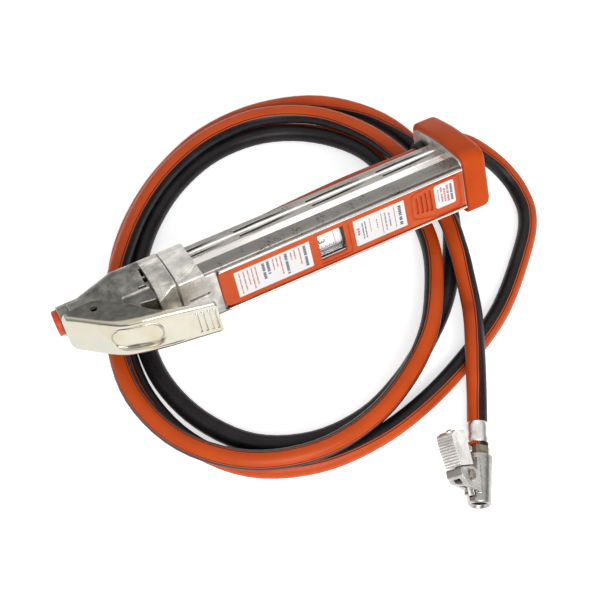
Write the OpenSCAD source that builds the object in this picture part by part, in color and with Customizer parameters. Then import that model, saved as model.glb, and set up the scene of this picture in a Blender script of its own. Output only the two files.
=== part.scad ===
// Hand-held tyre inflator with a sliding-scale gauge, lying on its own looped hose.
// Millimetres. The floor is z = 0 and the tool lies along X: air inlet at -X, rubber buffer at +X.
// Pieces of the tool are drawn in the tool's own frame: x along it, -y out of the label face,
// +y towards the hose that runs along its back, +z out of the side face that lies uppermost.

/* [Stance] */
// Height of the tool's long axis above the floor, where it rests on two layers of hose
axis_height = 51.5; // [51.5:0.5:56]
// Roll of the tool about its long axis, which tips the label face up
tool_roll = 26; // [22:1:28]

/* [Barrel] */
// Where the extruded barrel starts, behind the adapter
barrel_start = -64; // [-66:1:-62]
// Where the barrel ends, at the flange
barrel_end = 118; // [116:1:120]
// Half the distance between the two side faces
barrel_half = 17; // [16.5:0.5:18]
// Distance from the axis to the back face
barrel_back = 18; // [17:0.5:18]
// Distance from the axis to the front edges, beside the label panel
barrel_front = 21.6; // [21:0.2:22]
// Radius of the two long back corners
barrel_corner = 5; // [3:0.5:6]
// Spacing of the tapered flutes along the side faces
flute_pitch = 51.7; // [48:0.1:54]
// Length of one flute, from its square end to where it fades out
flute_length = 42; // [30:1:44]

/* [Label panel and window] */
// Half the width of the moulded panel
panel_half = 15.1; // [14:0.1:15.1]
// How far the panel stands out from the tool's axis
panel_front = 22.9; // [22.6:0.1:23.4]
// Length of the gauge window
window_length = 20; // [16:1:22]
// Width of the gauge window
window_width = 19.2; // [17:0.2:19.2]
// Middle of the window along the tool
window_middle = 22; // [20:1:24]

/* [Gauge] */
// Outer radius of the printed scale sleeve
sleeve_radius = 10.2; // [9.8:0.1:10.4]
// Travel of the piston, rod and sleeve at full pressure
gauge_travel = 34; // [20:1:34]
// Number of turns in the gauge spring
gauge_turns = 7; // [5:1:8]

/* [Valve head] */
// Radius of the inlet nose
nose_radius = 10; // [9.5:0.1:10.5]
// Radius of the inlet bore
inlet_bore = 6.6; // [6:0.1:7]
// Half the width of the head across its side faces
head_half = 17.5; // [17:0.1:18]
// Distance from the axis to the back of the head
head_back = 26; // [25:0.5:27]

/* [Trigger lever] */
// Half the width of the lever across its cheeks at the knee
lever_half = 13.6; // [13.5:0.1:14]
// Thickness of the pressed steel
lever_sheet = 1.6; // [1.2:0.1:1.8]
// Half the width of the lever at its tail
tail_half = 12; // [11:0.1:12.5]

/* [Flange and buffer] */
// Thickness of the end flange
flange_thick = 4; // [3:0.5:5]
// Radius of the buffer's corners
buffer_corner = 8; // [6:0.5:9]
// Where the buffer's end face lies
buffer_end = 136.5; // [135:0.5:138]

/* [Hose] */
// Outer diameter of the hose
hose_od = 13; // [12:0.5:13]
// Number of sides of the hose's tube
hose_sides = 10; // [8:1:12]

/* [Connector] */
// Radius of the connector's body at the hose end
connector_radius = 9; // [8.8:0.1:9.2]
// Radius of the bore that takes a tyre valve
valve_bore = 4.4; // [4.2:0.1:4.5]
// Depth of that bore from the mouth to the rubber seal
valve_depth = 13; // [11:0.5:14]

/* [Hidden] */
$fn = 64;

// Colours
zinc_grey = [0.62, 0.61, 0.59];
bare_aluminium = [0.74, 0.73, 0.71];
plated_steel = [0.84, 0.80, 0.70];
bright_steel = [0.78, 0.78, 0.76];
brass_colour = [0.72, 0.60, 0.36];
orange_red = [0.83, 0.28, 0.13];
black_rubber = [0.09, 0.09, 0.10];
white_plastic = [0.93, 0.93, 0.91];

eps = 0.01;     // overlap that keeps cuts clean
fit = 0.05;     // radial clearance of running fits
seat = 0.3;     // gap between curved faces on different bodies

// Where the tool's frame sits above the floor
tool_at = [10, 77.15, axis_height];
// Where the hose ends in the connector, and the direction of the connector's axis on the floor
connector_at = [61, -87.5, connector_radius];
connector_turn = -119;
// Roll of the connector about its own axis, which lifts the thumb lever off the floor
connector_roll = -46;

module at_tool() { translate(tool_at) rotate([-tool_roll, 0, 0]) children(); }
module at_connector() { translate(connector_at) rotate([0, 0, connector_turn])
    rotate([connector_roll, 0, 0]) children(); }
function on_tool(p) = [tool_at[0] + p[0],
    tool_at[1] + p[1] * cos(tool_roll) + p[2] * sin(tool_roll),
    tool_at[2] - p[1] * sin(tool_roll) + p[2] * cos(tool_roll)];

// ---- shared shapes ----

// A profile drawn in (y, z), extruded along x from x0 to x1
module along_x(x0, x1) { translate([x0, 0, 0]) rotate([90, 0, 90]) linear_extrude(x1 - x0) children(); }
// A profile drawn in (x, -y), extruded along z between -half and half
module across_z(half) { translate([0, 0, -half]) mirror([0, 1, 0]) linear_extrude(2 * half) children(); }
// A round bar or bore along x
module bar_x(r, x0, x1, y = 0, z = 0) { translate([x0, y, z]) rotate([0, 90, 0]) cylinder(r = r, h = x1 - x0); }
// A round bar or bore along y
module bar_y(r, y0, y1, x = 0, z = 0) { translate([x, y0, z]) rotate([-90, 0, 0]) cylinder(r = r, h = y1 - y0); }
// A rectangle between two corners, with rounded corners
module soft_rect(a, b, r) {
    translate([a[0] + r, a[1]]) square([b[0] - a[0] - 2 * r, b[1] - a[1]]);
    translate([a[0], a[1] + r]) square([b[0] - a[0], b[1] - a[1] - 2 * r]);
    for (x = [a[0] + r, b[0] - r], y = [a[1] + r, b[1] - r]) translate([x, y]) circle(r);
}
module tube_x(r_out, r_in, x0, x1, y = 0, z = 0) {
    difference() {
        bar_x(r_out, x0, x1, y, z);
        bar_x(r_in, x0 - eps, x1 + eps, y, z);
    }
}

// A tube swept through the given points, whose rings stand square to the path
function unit(v) = v / norm(v);
function heading(p, i) = unit(p[min(i + 1, len(p) - 1)] - p[max(i - 1, 0)]);
function ring(c, t, r, n, up) = let (s = unit(cross(t, up)), u = cross(s, t))
    [for (k = [0:n - 1]) c + r * (sin(360 * k / n) * s - cos(360 * k / n) * u)];
module swept(points, r, n, first, last, up = [0, 0, 1]) {
    m = len(points);
    rings = [for (i = [0:m - 1])
        each ring(points[i], i == 0 ? first : i == m - 1 ? last : heading(points, i), r, n, up)];
    sides = [for (i = [0:m - 2], k = [0:n - 1]) let (a = i * n + k, b = i * n + (k + 1) % n)
        each [[a, a + n, b + n], [a, b + n, b]]];
    ends = [for (k = [1:n - 2])
        each [[0, k, k + 1], [(m - 1) * n, (m - 1) * n + k + 1, (m - 1) * n + k]]];
    polyhedron(rings, concat(sides, ends), convexity = 20);
}
// An open coil spring about the x axis
module spring_x(x0, x1, r, wire, turns) {
    steps = 10;
    lead = (x1 - x0 - 2 * wire) / turns;
    path = [for (i = [0:turns * steps]) let (a = 360 * i / steps)
        [x0 + wire + lead * i / steps, r * cos(a), r * sin(a)]];
    start = unit([lead / (2 * PI), 0, r]);
    swept(path, wire / 2, 6, start, start, [1, 0, 0]);
}

// ---- barrel ----

// Upper half of the section from the panel to the back, as (y, z): a flat land, a bright facet that
// tilts back, and a gentler one that carries the flutes
side_facets = [[-30, 17], [-11, 17], [-4, 16.3], [18, 15], [30, 15]];
gauge_y = -7;                     // the gauge lies nearer the label face
gauge_bore = 11.5;
cavity_half = 11;                 // lightening cavity along the back
panel_seat = -19.9;               // the face that the label panel lies on
flute_radius = 2.6;
flute_depth = 1.3;
flute_rows = [11.2, 4];
flute_first = -31.2;
flange_hole_y = 31.5;             // the hose passes the flange here
screw_places = [[-16.4, 13.4], [-16.4, -13.4], [13, 13.6], [13, -13.6]];

function mirrored(p) = [for (i = [len(p) - 1:-1:0]) [p[i][0], -p[i][1]]];
module barrel_profile() {
    intersection() {
        union() {
            soft_rect([-barrel_front, -barrel_half], [barrel_back, barrel_half], barrel_corner);
            soft_rect([-barrel_front, -barrel_half], [0, barrel_half], 0.8);
        }
        scale([1, barrel_half / 17]) polygon(concat(side_facets, mirrored(side_facets)));
    }
}
module flute(x, y, top) {
    mirror([0, 0, top ? 0 : 1]) translate([x, y, barrel_half - 1 + flute_radius - flute_depth])
        rotate([0, -atan(flute_depth / flute_length), 0])
            rotate([0, 90, 0]) cylinder(r = flute_radius, h = flute_length + 4);
}
module barrel() {
    color(bare_aluminium) at_tool() difference() {
        along_x(barrel_start, barrel_end) barrel_profile();
        bar_x(gauge_bore, barrel_start - eps, barrel_end + eps, gauge_y);
        translate([barrel_start - eps, -30, -panel_half - 0.1])
            cube([barrel_end - barrel_start + 1, 30 + panel_seat, 2 * panel_half + 0.2]);
        along_x(barrel_start - eps, barrel_end + eps) soft_rect([6.5, -cavity_half], [15.4, cavity_half], 2);
        translate([window_middle - window_length / 2 - 2, panel_seat - 1, -window_width / 2])
            cube([window_length + 4, 14, window_width]);
        for (k = [-1:2], row = [0, 1], top = [true, false])
            flute(flute_first + k * flute_pitch + row * 1.5 + (k < 0 ? 18 : 0), flute_rows[row], top);
        for (p = screw_places) bar_x(1.6, barrel_end - 12, barrel_end + 1, p[0], p[1]);
    }
}

// ---- adapter between head and barrel ----

seam_x = -81;
gasket_thick = 0.6;
adapter_back = 24;
adapter_lip = -56.2;
port_y = 25.4;                    // hose port on the back of the head
port_wall = 8.6;
chest_start = -95;                // the valve chest stands proud of the side faces from here
chest_end = -64.4;
chest_top = 19.4;
chest_radius = 90;
chest_middle = -2;
// Outline of the chest in (x, y), and the same drawn in by a step that eases its rim
chest_outline = [[chest_start, 15], [chest_start, -14.5], [seam_x, -19.6], [-67, -12.8], [-64.9, -10.6],
    [chest_end, -8], [chest_end, 15]];
chest_inner = [[chest_start, 14], [chest_start, -13], [seam_x, -18.1], [-68, -11.8], [-66.2, -9.8],
    [-65.8, -7.4], [-65.8, 14]];

module chest_bulge(x0, x1) {
    for (side = [0, 1]) mirror([0, 0, side]) intersection() {
        union() {
            intersection() {
                bar_x(chest_radius, x0, x1, chest_middle, chest_top - chest_radius, $fn = 200);
                linear_extrude(chest_top) polygon(chest_inner);
            }
            intersection() {
                bar_x(chest_radius, x0, x1, chest_middle, chest_top - 0.7 - chest_radius, $fn = 200);
                linear_extrude(chest_top) polygon(chest_outline);
            }
        }
        translate([x0, -30, 10]) cube([x1 - x0, 60, 12]);
    }
}
module adapter() {
    color(zinc_grey) at_tool() difference() {
        union() {
            along_x(seam_x, barrel_start) soft_rect([-22.4, -17.2], [adapter_back, 17.2], 6);
            along_x(seam_x, barrel_start) soft_rect([-22.4, -17.2], [0, 17.2], 1);
            translate([barrel_start - eps, -22.4, -panel_half])
                cube([adapter_lip - barrel_start, 2.5, 2 * panel_half]);
            chest_bulge(seam_x, chest_end);
            bar_x(port_wall, seam_x, barrel_start + 2, port_y);
        }
        bar_x(7.4, barrel_start - 2, barrel_start + 3, port_y);
        bar_x(3, seam_x - eps, barrel_start + eps, port_y);
        bar_x(1.6, seam_x - eps, barrel_start + eps, gauge_y);
        translate([-76.2, -23, 2]) cube([13.4, 1.6, 0.9]);
        along_x(barrel_start, barrel_start + 3) translate([-21, -18]) square([42, 36]);
    }
}
module head_gasket() {
    color(black_rubber) at_tool() difference() {
        along_x(seam_x - gasket_thick, seam_x) soft_rect([-22, -17], [23.8, 17], 6);
        bar_x(3, seam_x - 1, seam_x + 1, port_y - 6);
        bar_x(1.6, seam_x - 1, seam_x + 1, gauge_y);
    }
}

// ---- label panel and window ----

panel_start = -56;
panel_end = 117.8;
lens_thick = 1.2;
lens_radius = 13.6;

module label_panel() {
    color(orange_red) at_tool() difference() {
        intersection() {
            across_z(panel_half) difference() {
                translate([panel_start, -panel_seat]) square([panel_end - panel_start, panel_front + panel_seat]);
                translate([panel_start, panel_front - 2.4]) difference() {
                    square([2.4, 2.5]);
                    translate([2.4, 0]) circle(2.4);
                }
            }
            translate([0, -15, 0]) rotate([90, 0, 0]) linear_extrude(20)
                soft_rect([panel_start, -panel_half], [panel_end + 6, panel_half], 4);
        }
        translate([window_middle - window_length / 2, -30, -window_width / 2])
            cube([window_length, 20, window_width]);
        translate([window_middle - window_length / 2 - 1, -panel_front - 1, -window_width / 2 - 1])
            cube([window_length + 2, 2, window_width + 2]);
        grip_mark();
        translate([panel_end, -30, -20]) cube([10, 20, 40]);
    }
}
// Finger grooves, as (x, lower z, upper z)
grip_slots = [[83, -5.3, 7.2], [86.4, -5.8, 7.7], [89.7, -6.3, 8.3], [93.1, -6.9, 8.9]];
grip_width = 1.7;
grip_depth = 0.8;
// Tapering frame round the grooves and the badge, as (x, z)
grip_frame = [[78.4, -5], [79.6, -7.4], [82.3, -8.7], [96.5, -12.2], [111.3, -12.5], [113.8, -11.2], [114.7, -8.8],
    [114.9, 9.6], [114, 12.1], [111.4, 12.9], [97, 12.5], [82.4, 11.6], [80, 10.4], [79, 8.2]];
// The same frame, drawn in by the width of its groove
grip_field = [[79.3, -4.8], [80.3, -6.8], [82.7, -7.9], [96.6, -11.3], [111.2, -11.6], [113.1, -10.7], [113.8, -8.6],
    [114, 9.4], [113.3, 11.4], [111.3, 12], [97, 11.6], [82.7, 10.7], [80.7, 9.7], [79.9, 8]];
// Grooves moulded into the panel for grip
module grip_mark() {
    translate([0, -panel_front + grip_depth, 0]) rotate([90, 0, 0]) linear_extrude(2) {
        for (g = grip_slots)
            soft_rect([g[0] - grip_width / 2, g[1]], [g[0] + grip_width / 2, g[2]], grip_width / 2 - eps);
        difference() {
            polygon(grip_frame);
            polygon(grip_field);
        }
    }
}
module window_lens() {
    color([0.85, 0.9, 0.92, 0.4]) at_tool() intersection() {
        tube_x(lens_radius, lens_radius - lens_thick, window_middle - window_length / 2,
            window_middle + window_length / 2, gauge_y);
        translate([0, -30, -window_width / 2]) cube([60, 16, window_width]);
    }
}

// ---- sliding gauge ----

cylinder_start = -61;
cylinder_end = 0;
cylinder_wall = [8.5, 7.3];
piston_start = -52;
rod_radius = 2.5;
sleeve_start = -24;
sleeve_end = 42;

module gauge_cylinder() {
    color(bright_steel) at_tool() {
        difference() {
            union() {
                bar_x(cylinder_wall[0], cylinder_start, cylinder_end, gauge_y);
                bar_x(gauge_bore - fit, cylinder_start, cylinder_start + 3, gauge_y);
            }
            bar_x(cylinder_wall[1], cylinder_start + 3, cylinder_end + 1, gauge_y);
            bar_x(1.6, cylinder_start - 1, cylinder_start + 4, gauge_y);
        }
    }
}
module cylinder_cap() {
    color(bright_steel) at_tool() difference() {
        union() {
            bar_x(cylinder_wall[1] - fit, cylinder_end - 4, cylinder_end, gauge_y);
            bar_x(cylinder_wall[0], cylinder_end, cylinder_end + 1.5, gauge_y);
        }
        bar_x(rod_radius + fit, cylinder_end - 5, cylinder_end + 3, gauge_y);
    }
}
module gauge_piston() {
    color(brass_colour) at_tool() difference() {
        bar_x(cylinder_wall[1] - fit, piston_start, piston_start + 6, gauge_y);
        tube_x(9, 5, piston_start + 2, piston_start + 4, gauge_y);
    }
}
module piston_seal() {
    color(black_rubber) at_tool() tube_x(cylinder_wall[1] - 0.02, 5, piston_start + 2, piston_start + 4, gauge_y);
}
module piston_rod() {
    color(bright_steel) at_tool() bar_x(rod_radius, piston_start + 6, sleeve_end - 2, gauge_y);
}
module scale_sleeve() {
    color(white_plastic) at_tool() {
        tube_x(sleeve_radius, cylinder_wall[0] + 0.5, sleeve_start, sleeve_end - 2, gauge_y);
        bar_x(sleeve_radius, sleeve_end - 2, sleeve_end, gauge_y);
    }
}
module gauge_spring() {
    color(bright_steel) at_tool() translate([0, gauge_y, 0])
        spring_x(piston_start + 6.1, cylinder_end - 4.1, 5, 1.1, gauge_turns);
}

// ---- valve head ----

nose_start = -153;
nose_y = 15.5;
neck_x = -138;
body_x = -114;
head_end = seam_x - gasket_thick;
head_front = 21;
plate_half = 11.7;                // flat sides that the lever's cheeks straddle
plate_crease = -4.2;              // from here the sides slope out to the full width at the back
slope_end = 13;
pivot_x = -132.4;
pivot_y = -5.4;
pivot_radius = 2.5;
plunger_x = -112;
plunger_radius = 2.5;
plunger_top = 29;

// Section of the head as (y, z) limits, and the outline of its flat plate in (x, front)
head_limits = [[-30, plate_half], [plate_crease, plate_half], [slope_end, head_half], [40, head_half]];
plate_outline = [[-146, -14], [-146, -3], [-143.5, 0.5], [-128.5, 17.5], [-123, head_front], [-106, head_front],
    [-106, 16.4], [chest_start + 2, 19], [chest_start + 2, -14]];
// Space that the lever's cheeks need beside the plate, in (x, front)
cheek_space = [[-160, -5.4], [-140, -6], [-131.6, -6.4], [-126, -4.2], [-119, 2], [-114, 5.6], [-96.7, 4.6],
    [chest_start, 4.8], [chest_start, 40], [-160, 40]];
// Pockets at the foot of the chest, as (x, y, length along x, length along y)
foot_pockets = [[-96.5, 4.4, 1.5, 7], [-96.7, -0.4, 1.7, 4], [-96.3, -3.9, 1.3, 2.2], [-102, -3.4, 5.4, 1]];

module head_section() {
    intersection() {
        soft_rect([-14, -head_half], [head_back, head_half], 9);
        polygon(concat(head_limits, mirrored(head_limits)));
    }
}
module head_shell() {
    hull() {
        bar_x(nose_radius, neck_x, neck_x + 1, nose_y, $fn = 32);
        intersection() {
            along_x(body_x, body_x + 1) soft_rect([-10, -head_half], [head_back - 0.5, head_half], 9, $fn = 32);
            along_x(body_x, body_x + 1) polygon(concat(head_limits, mirrored(head_limits)));
        }
    }
    bar_x(nose_radius, nose_start, neck_x, nose_y);
    along_x(body_x, chest_start) head_section();
    along_x(chest_start, head_end) soft_rect([-head_front, -head_half], [head_back, head_half], 9);
    along_x(chest_start, head_end) soft_rect([-head_front, -head_half], [0, head_half], 1.5);
    across_z(plate_half) polygon(plate_outline);
    chest_bulge(chest_start, head_end);
    bar_x(port_wall, -98, head_end, port_y);
}
// Slanting cut that takes the chest's lower corner away beside the lever's tail
module corner_cut() {
    intersection() {
        translate([chest_start, -30, 0]) cube([13.2, 30, 30]);
        translate([chest_start, -15.2, head_half]) rotate([49.6, -36, 0]) translate([-20, -30, 0]) cube([50, 60, 20]);
    }
}
module valve_head() {
    color(zinc_grey) at_tool() difference() {
        head_shell();
        for (side = [0, 1]) mirror([0, 0, side]) {
            translate([0, 0, plate_half]) mirror([0, 1, 0]) linear_extrude(8) polygon(cheek_space);
            corner_cut();
            for (p = foot_pockets) translate([p[0], p[1], plate_half - 2.5]) cube([p[2], p[3], 12]);
        }
        bar_x(inlet_bore, nose_start - eps, nose_start + 26, nose_y);
        bar_x(3.2, nose_start + 20, plunger_x, nose_y);
        translate([pivot_x, pivot_y, -20]) cylinder(r = pivot_radius, h = 40);
        bar_y(plunger_radius + fit, -head_front - 1, 10, plunger_x);
        bar_y(5, 9, 19, plunger_x);
        bar_y(6, 19, 40, plunger_x);
        bar_x(1.6, plunger_x, head_end + eps, gauge_y);
        bar_x(3, -100, head_end + eps, port_y - 6);
    }
}
module inlet_plug() {
    color(orange_red) at_tool() difference() {
        union() {
            bar_x(8.5, -156.5, nose_start, nose_y);
            bar_x(inlet_bore - fit, nose_start, nose_start + 9, nose_y);
        }
        bar_x(6.4, -157, -155, nose_y);
        bar_x(4.2, -156, nose_start + 7, nose_y);
    }
}
module inlet_strainer() {
    color(brass_colour) at_tool() bar_x(inlet_bore - 0.02, nose_start + 20, nose_start + 21, nose_y);
}
module lever_pivot_pin() {
    color(bright_steel) at_tool() translate([pivot_x, pivot_y, 0]) difference() {
        cylinder(r = pivot_radius - 0.02, h = 2 * lever_half, center = true);
        cylinder(r = 1.6, h = 3 * lever_half, center = true);
    }
}
module valve_plunger() {
    color(brass_colour) at_tool() {
        bar_y(plunger_radius, -plunger_top, 9.2, plunger_x);
        bar_y(4.2, 9.2, 11.4, plunger_x);
    }
}
module plunger_seal() {
    color(black_rubber) at_tool() translate([plunger_x, 11.4, 0]) rotate([-90, 0, 0]) cylinder(r = 4.2, h = 1.2);
}
module plunger_spring() {
    color(bright_steel) at_tool() translate([plunger_x, 12.8, 0]) rotate([0, 0, 90]) spring_x(0, 7.6, 3, 0.8, 4);
}
module valve_cap() {
    color(brass_colour) at_tool() difference() {
        union() {
            bar_y(5.95, 20.6, head_back, plunger_x);
            translate([plunger_x, head_back, 0]) rotate([-90, 0, 0]) cylinder(r = 6.6, h = 2.4, $fn = 6);
        }
        bar_y(2, head_back - 1, head_back + 3, plunger_x);
    }
}

// ---- trigger lever ----

// Where the lever's outer face runs, as (x, front, half width, edge radius), from the nose over the
// knee to the tail
lever_sections = [[-152.9, -0.1, lever_half - 5, 3], [-152.2, 0.7, lever_half - 2.2, 4],
    [-150.5, 2.5, lever_half - 0.4, 4], [-147, 6.4, lever_half, 4.2], [-134, 20.7, lever_half, 4.2], [-128.5, 26.2, lever_half, 4.2],
    [-124.5, 29.6, lever_half, 4.2], [-119.5, 32.2, lever_half, 4], [-110, 35.3, lever_half, 3.8],
    [-98, 38.4, lever_half - 0.1, 3], [-68, 46, tail_half, 2.4], [-66.2, 46.4, tail_half - 1.4, 2.4]];
lever_depth = 48;                 // deeper than the cheeks anywhere
// Lower edge of the cheeks, as (x, front), closed far outside the face
cheek_outline = [[-156, -1.9], [-149.7, -2.3], [-140, -3.4], [-131.6, -3.6], [-126.5, -0.8], [-120.6, 4.9],
    [-112, 15.3], [-106.3, 23.4], [-100.5, 31.2], [-95.5, 35.4], [-89, 37.6], [-79, 40.8], [-64, 45], [-60, 60],
    [-160, 60]];
tail_slope = (46 - 35.3) / (110 - 68);
// Thumb dimple pressed into the face, as the middle of its floor (x, front), with its slope
dimple_at = [-115.2, 31];
dimple_lean = 22.5;
dimple_reach = 8.8;               // from its middle to the centres of its round ends
dimple_half = 7.2;
dimple_z = 0.6;
rib_places = [-78.9, -75.2, -71.7, -68.4];

module lever_form(inset) {
    hull() for (s = lever_sections)
        along_x(s[0] + (s[0] < -130 ? -inset : inset), s[0] + (s[0] < -130 ? 0.1 - inset : 0.1 + inset))
            soft_rect([-s[1] + inset * 1.1, inset - s[2]], [lever_depth - s[1], s[2] - inset],
                s[3] - inset * 0.6, $fn = 32);
}
// Long dimple with round ends, made smaller by an inset
module dimple(inset) {
    r = dimple_half - inset;
    translate([dimple_at[0], -dimple_at[1], dimple_z]) rotate([0, 0, -dimple_lean]) {
        for (x = [-dimple_reach, dimple_reach]) translate([x, -12, 0])
            rotate([-90, 0, 0]) cylinder(r = r, h = 12);
        translate([-dimple_reach, -12, -r]) cube([2 * dimple_reach, 12, 2 * r]);
    }
}
module trigger_lever() {
    color(plated_steel) at_tool() difference() {
        intersection() {
            lever_form(0);
            across_z(20) polygon(cheek_outline);
        }
        difference() {
            lever_form(lever_sheet);
            translate([0, lever_sheet, 0]) dimple(0);
        }
        dimple(lever_sheet * 0.5);
        translate([pivot_x, pivot_y, -20]) cylinder(r = pivot_radius + 0.02, h = 40);
        for (x = rib_places) rib_groove(x);
    }
}
// One of the cross grooves that roughen the lever's tail
module rib_groove(x) {
    translate([x, -35.3 - (x + 110) * tail_slope - 0.3, -10]) cylinder(r = 0.8, h = 20);
}

// ---- flange, buffer and grommet ----

flange_back = 45;
flange_half = 20;
flange_front = 21.2;
buffer_back = 47.6;
buffer_half = 23.8;
buffer_front = 23.9;
taper_radius = 180;               // bow of the long sides, which draws both outlines in towards the back
back_corner = 10;
corner_y = 37.2;                  // the back corners start here
lip_start = barrel_end + 1.2;
rim_round = 1.5;
end_round = 5;

// Half width of a bowed outline at its back corners
function drawn_in(half) = half - taper_radius + sqrt(taper_radius * taper_radius - corner_y * corner_y);
// Outline with bowed long sides, in (y, z)
module bowed(front, back, half, front_corner, round) {
    intersection() {
        soft_rect([-front, -half], [back + 40, half], front_corner);
        translate([0, half - taper_radius]) circle(taper_radius, $fn = 240);
        translate([0, taper_radius - half]) circle(taper_radius, $fn = 240);
        translate([-60, -40]) square([60 + corner_y, 80]);
    }
    soft_rect([0, -drawn_in(half)], [back, drawn_in(half)], round);
}
module flange_outline() { bowed(flange_front, flange_back, flange_half, 6, back_corner - 1); }
module end_flange() {
    color(bare_aluminium) at_tool() difference() {
        along_x(barrel_end, barrel_end + flange_thick) flange_outline();
        bar_x(8.2, barrel_end - 1, barrel_end + flange_thick + 1, flange_hole_y);
        for (p = screw_places) bar_x(1.7, barrel_end - 1, barrel_end + 9, p[0], p[1]);
    }
}
module flange_screws() {
    color(bright_steel) at_tool() for (p = screw_places) translate([barrel_end + flange_thick, p[0], p[1]]) {
        difference() {
            rotate([0, 90, 0]) cylinder(r = 2.9, h = 2);
            translate([0.9, -0.5, -2]) cube([2, 1, 4]);
        }
        translate([-14, 0, 0]) rotate([0, 90, 0]) cylinder(r = 1.55, h = 14);
    }
}
// Side view of the block: small rounds at its rim, large ones at its end
module buffer_side(low, high) {
    soft_rect([lip_start, low], [buffer_end, high], end_round);
    soft_rect([lip_start, low], [buffer_end - end_round, high], rim_round);
}
// Block rounded over at its rim, its end and its four long corners
module buffer_form() {
    intersection() {
        along_x(lip_start, buffer_end)
            bowed(buffer_front, buffer_back, buffer_half, buffer_corner, back_corner);
        translate([0, buffer_back + 1, 0]) rotate([90, 0, 0]) linear_extrude(buffer_back + buffer_front + 2)
            buffer_side(-buffer_half, buffer_half);
        translate([0, 0, -buffer_half - 1]) linear_extrude(2 * buffer_half + 2)
            buffer_side(-buffer_front, buffer_back);
    }
}
module rubber_buffer() {
    color(orange_red) at_tool() difference() {
        buffer_form();
        along_x(lip_start - 1, barrel_end + flange_thick) flange_outline();
        bar_x(6.8, barrel_end, buffer_end + 1, flange_hole_y);
        for (p = screw_places) bar_x(3, barrel_end, barrel_end + flange_thick + 2.2, p[0], p[1]);
    }
}
module hose_grommet() {
    color(black_rubber) at_tool() difference() {
        union() {
            bar_x(9.6, barrel_end - 5.5, barrel_end, flange_hole_y);
            bar_x(8.2, barrel_end, barrel_end + flange_thick, flange_hole_y);
        }
        bar_x(hose_od / 2 + fit, barrel_end - 6, barrel_end + flange_thick + 1, flange_hole_y);
        bar_x(30, barrel_end - 7, barrel_end - 0.5, -12);
    }
}

// ---- hose ----

lay = hose_od / 2;                // height of a strand that lies on the floor
over = lay + 13.6;                // height of a strand that lies on another
hose_start = barrel_start;
// Along the tool's back, through the flange and out of the buffer, in the tool's frame
back_run = [[hose_start, port_y, 0], [-30, 25.4, 0], [10, 28, 1], [60, 31, 1], [100, flange_hole_y, 0],
    [buffer_end, flange_hole_y, 0]];
// Down to the floor beside the buffer
way_down = [[159, 102, 35], [172, 91, 25], [181, 79, 15], [184, 64, 9], [180, 46, lay]];
// The loops turn clockwise round one centre. Each row holds the radii of the points at every step,
// and the height of the strand there
loop_centre = [8, 76];
loop_step = 18;
// Lowest and widest: across the front, round the left, over the back and under the barrel
first_loop = [[164, lay], [145, lay], [132, lay], [128, lay], [130, lay], [135, lay], [138, lay], [134, lay],
    [128, lay], [121, lay], [117, lay], [116, lay], [118, lay], [124, lay], [133, lay], [142, lay], [149, lay],
    [148, lay], [139, lay]];
// Inside it on the floor
second_loop = [[126, lay], [114, lay], [107, lay], [104, lay], [107, lay], [114, lay], [120, lay], [120, lay],
    [115, lay], [109, lay], [103, lay], [100, lay], [100, lay], [103, lay], [108, lay], [114, lay], [118, lay],
    [119, lay], [117, lay]];
// On the groove between the other two, and down under the barrel to reach it
third_loop = [[109, 7], [102, 11], [99, 17], [99, 19], [104, 20.4], [111, 19.8], [121, 18.8], [132, over],
    [139, 20.4], [140, 20], [134, 19.6], [123, over], [115, over], [110, 20], [111, 18.8], [116, 18.6],
    [123, 18.6], [129, 17], [130, 16.2], [125, 18.8], [119, over]];
// Out from under the tool, over the second and first loops and down to the connector
last_run = [[120.6, 90, over], [123.4, 64, 20.4], [118, 38, 20.4], [112, 17, 17], [106, -1, 15], [99, -15, 19.4],
    [91, -30, 20.6], [83, -46, 17], [76, -60.4, 10.6],
    [69.8, -71.7, connector_radius], [59.9, -89.5, connector_radius]];

function spokes(loop, first) = [for (i = [0:len(loop) - 1]) let (a = -loop_step * (first + i))
    [loop_centre[0] + loop[i][0] * cos(a), loop_centre[1] + loop[i][0] * sin(a), loop[i][1]]];
hose_route = concat([for (p = back_run) on_tool(p)], way_down, spokes(first_loop, 1), spokes(second_loop, 0),
    spokes(third_loop, -1), last_run);

// Length of the hose, and the least gap between two of its strands: from points at every quarter of
// each stretch to each stretch that is more than four diameters away along the hose
function run_length(p, i = 0) = i > len(p) - 2 ? 0 : norm(p[i + 1] - p[i]) + run_length(p, i + 1);
function to_stretch(q, a, b) = let (t = (q - a) * (b - a) / ((b - a) * (b - a)))
    norm(q - a - min(max(t, 0), 1) * (b - a));
function strand_gap(p) = min([for (i = [0:len(p) - 2], f = [0:0.25:1], j = [i + 4:1:len(p) - 2])
    to_stretch(p[i] + f * (p[i + 1] - p[i]), p[j], p[j + 1])]) - hose_od;
echo(hose_length = run_length(hose_route), least_gap = strand_gap(hose_route), points = len(hose_route));

module hose() {
    color(black_rubber) swept(hose_route, hose_od / 2, hose_sides, [1, 0, 0],
        [cos(connector_turn), sin(connector_turn), 0]);
}
module head_ferrule() {
    color(bare_aluminium) at_tool() tube_x(7.3, hose_od / 2 + fit, hose_start, hose_start + 14, port_y);
}

// ---- tyre-valve connector, in its own frame: x from the hose to the mouth, -y out to the thumb lever ----

hex_start = 2.3;
hex_end = 8.6;
mouth_x = 40;
mouth_radius = 7.2;
lug_half = 6;                     // half the thickness of the lug and of the thumb lever
tongue_half = 2.2;                // the lever's tongue runs in a slot in the lug
slot_half = 2.5;
jaw_half = 2.1;
rivet_at = [25.6, 15.1];          // the thumb lever's pivot, as (x, out)
rivet_radius = 1.5;
spring_x_at = 6;                  // the spring stands here between body and lever
spring_top = 19.6;
seal_thick = 2.4;

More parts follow.
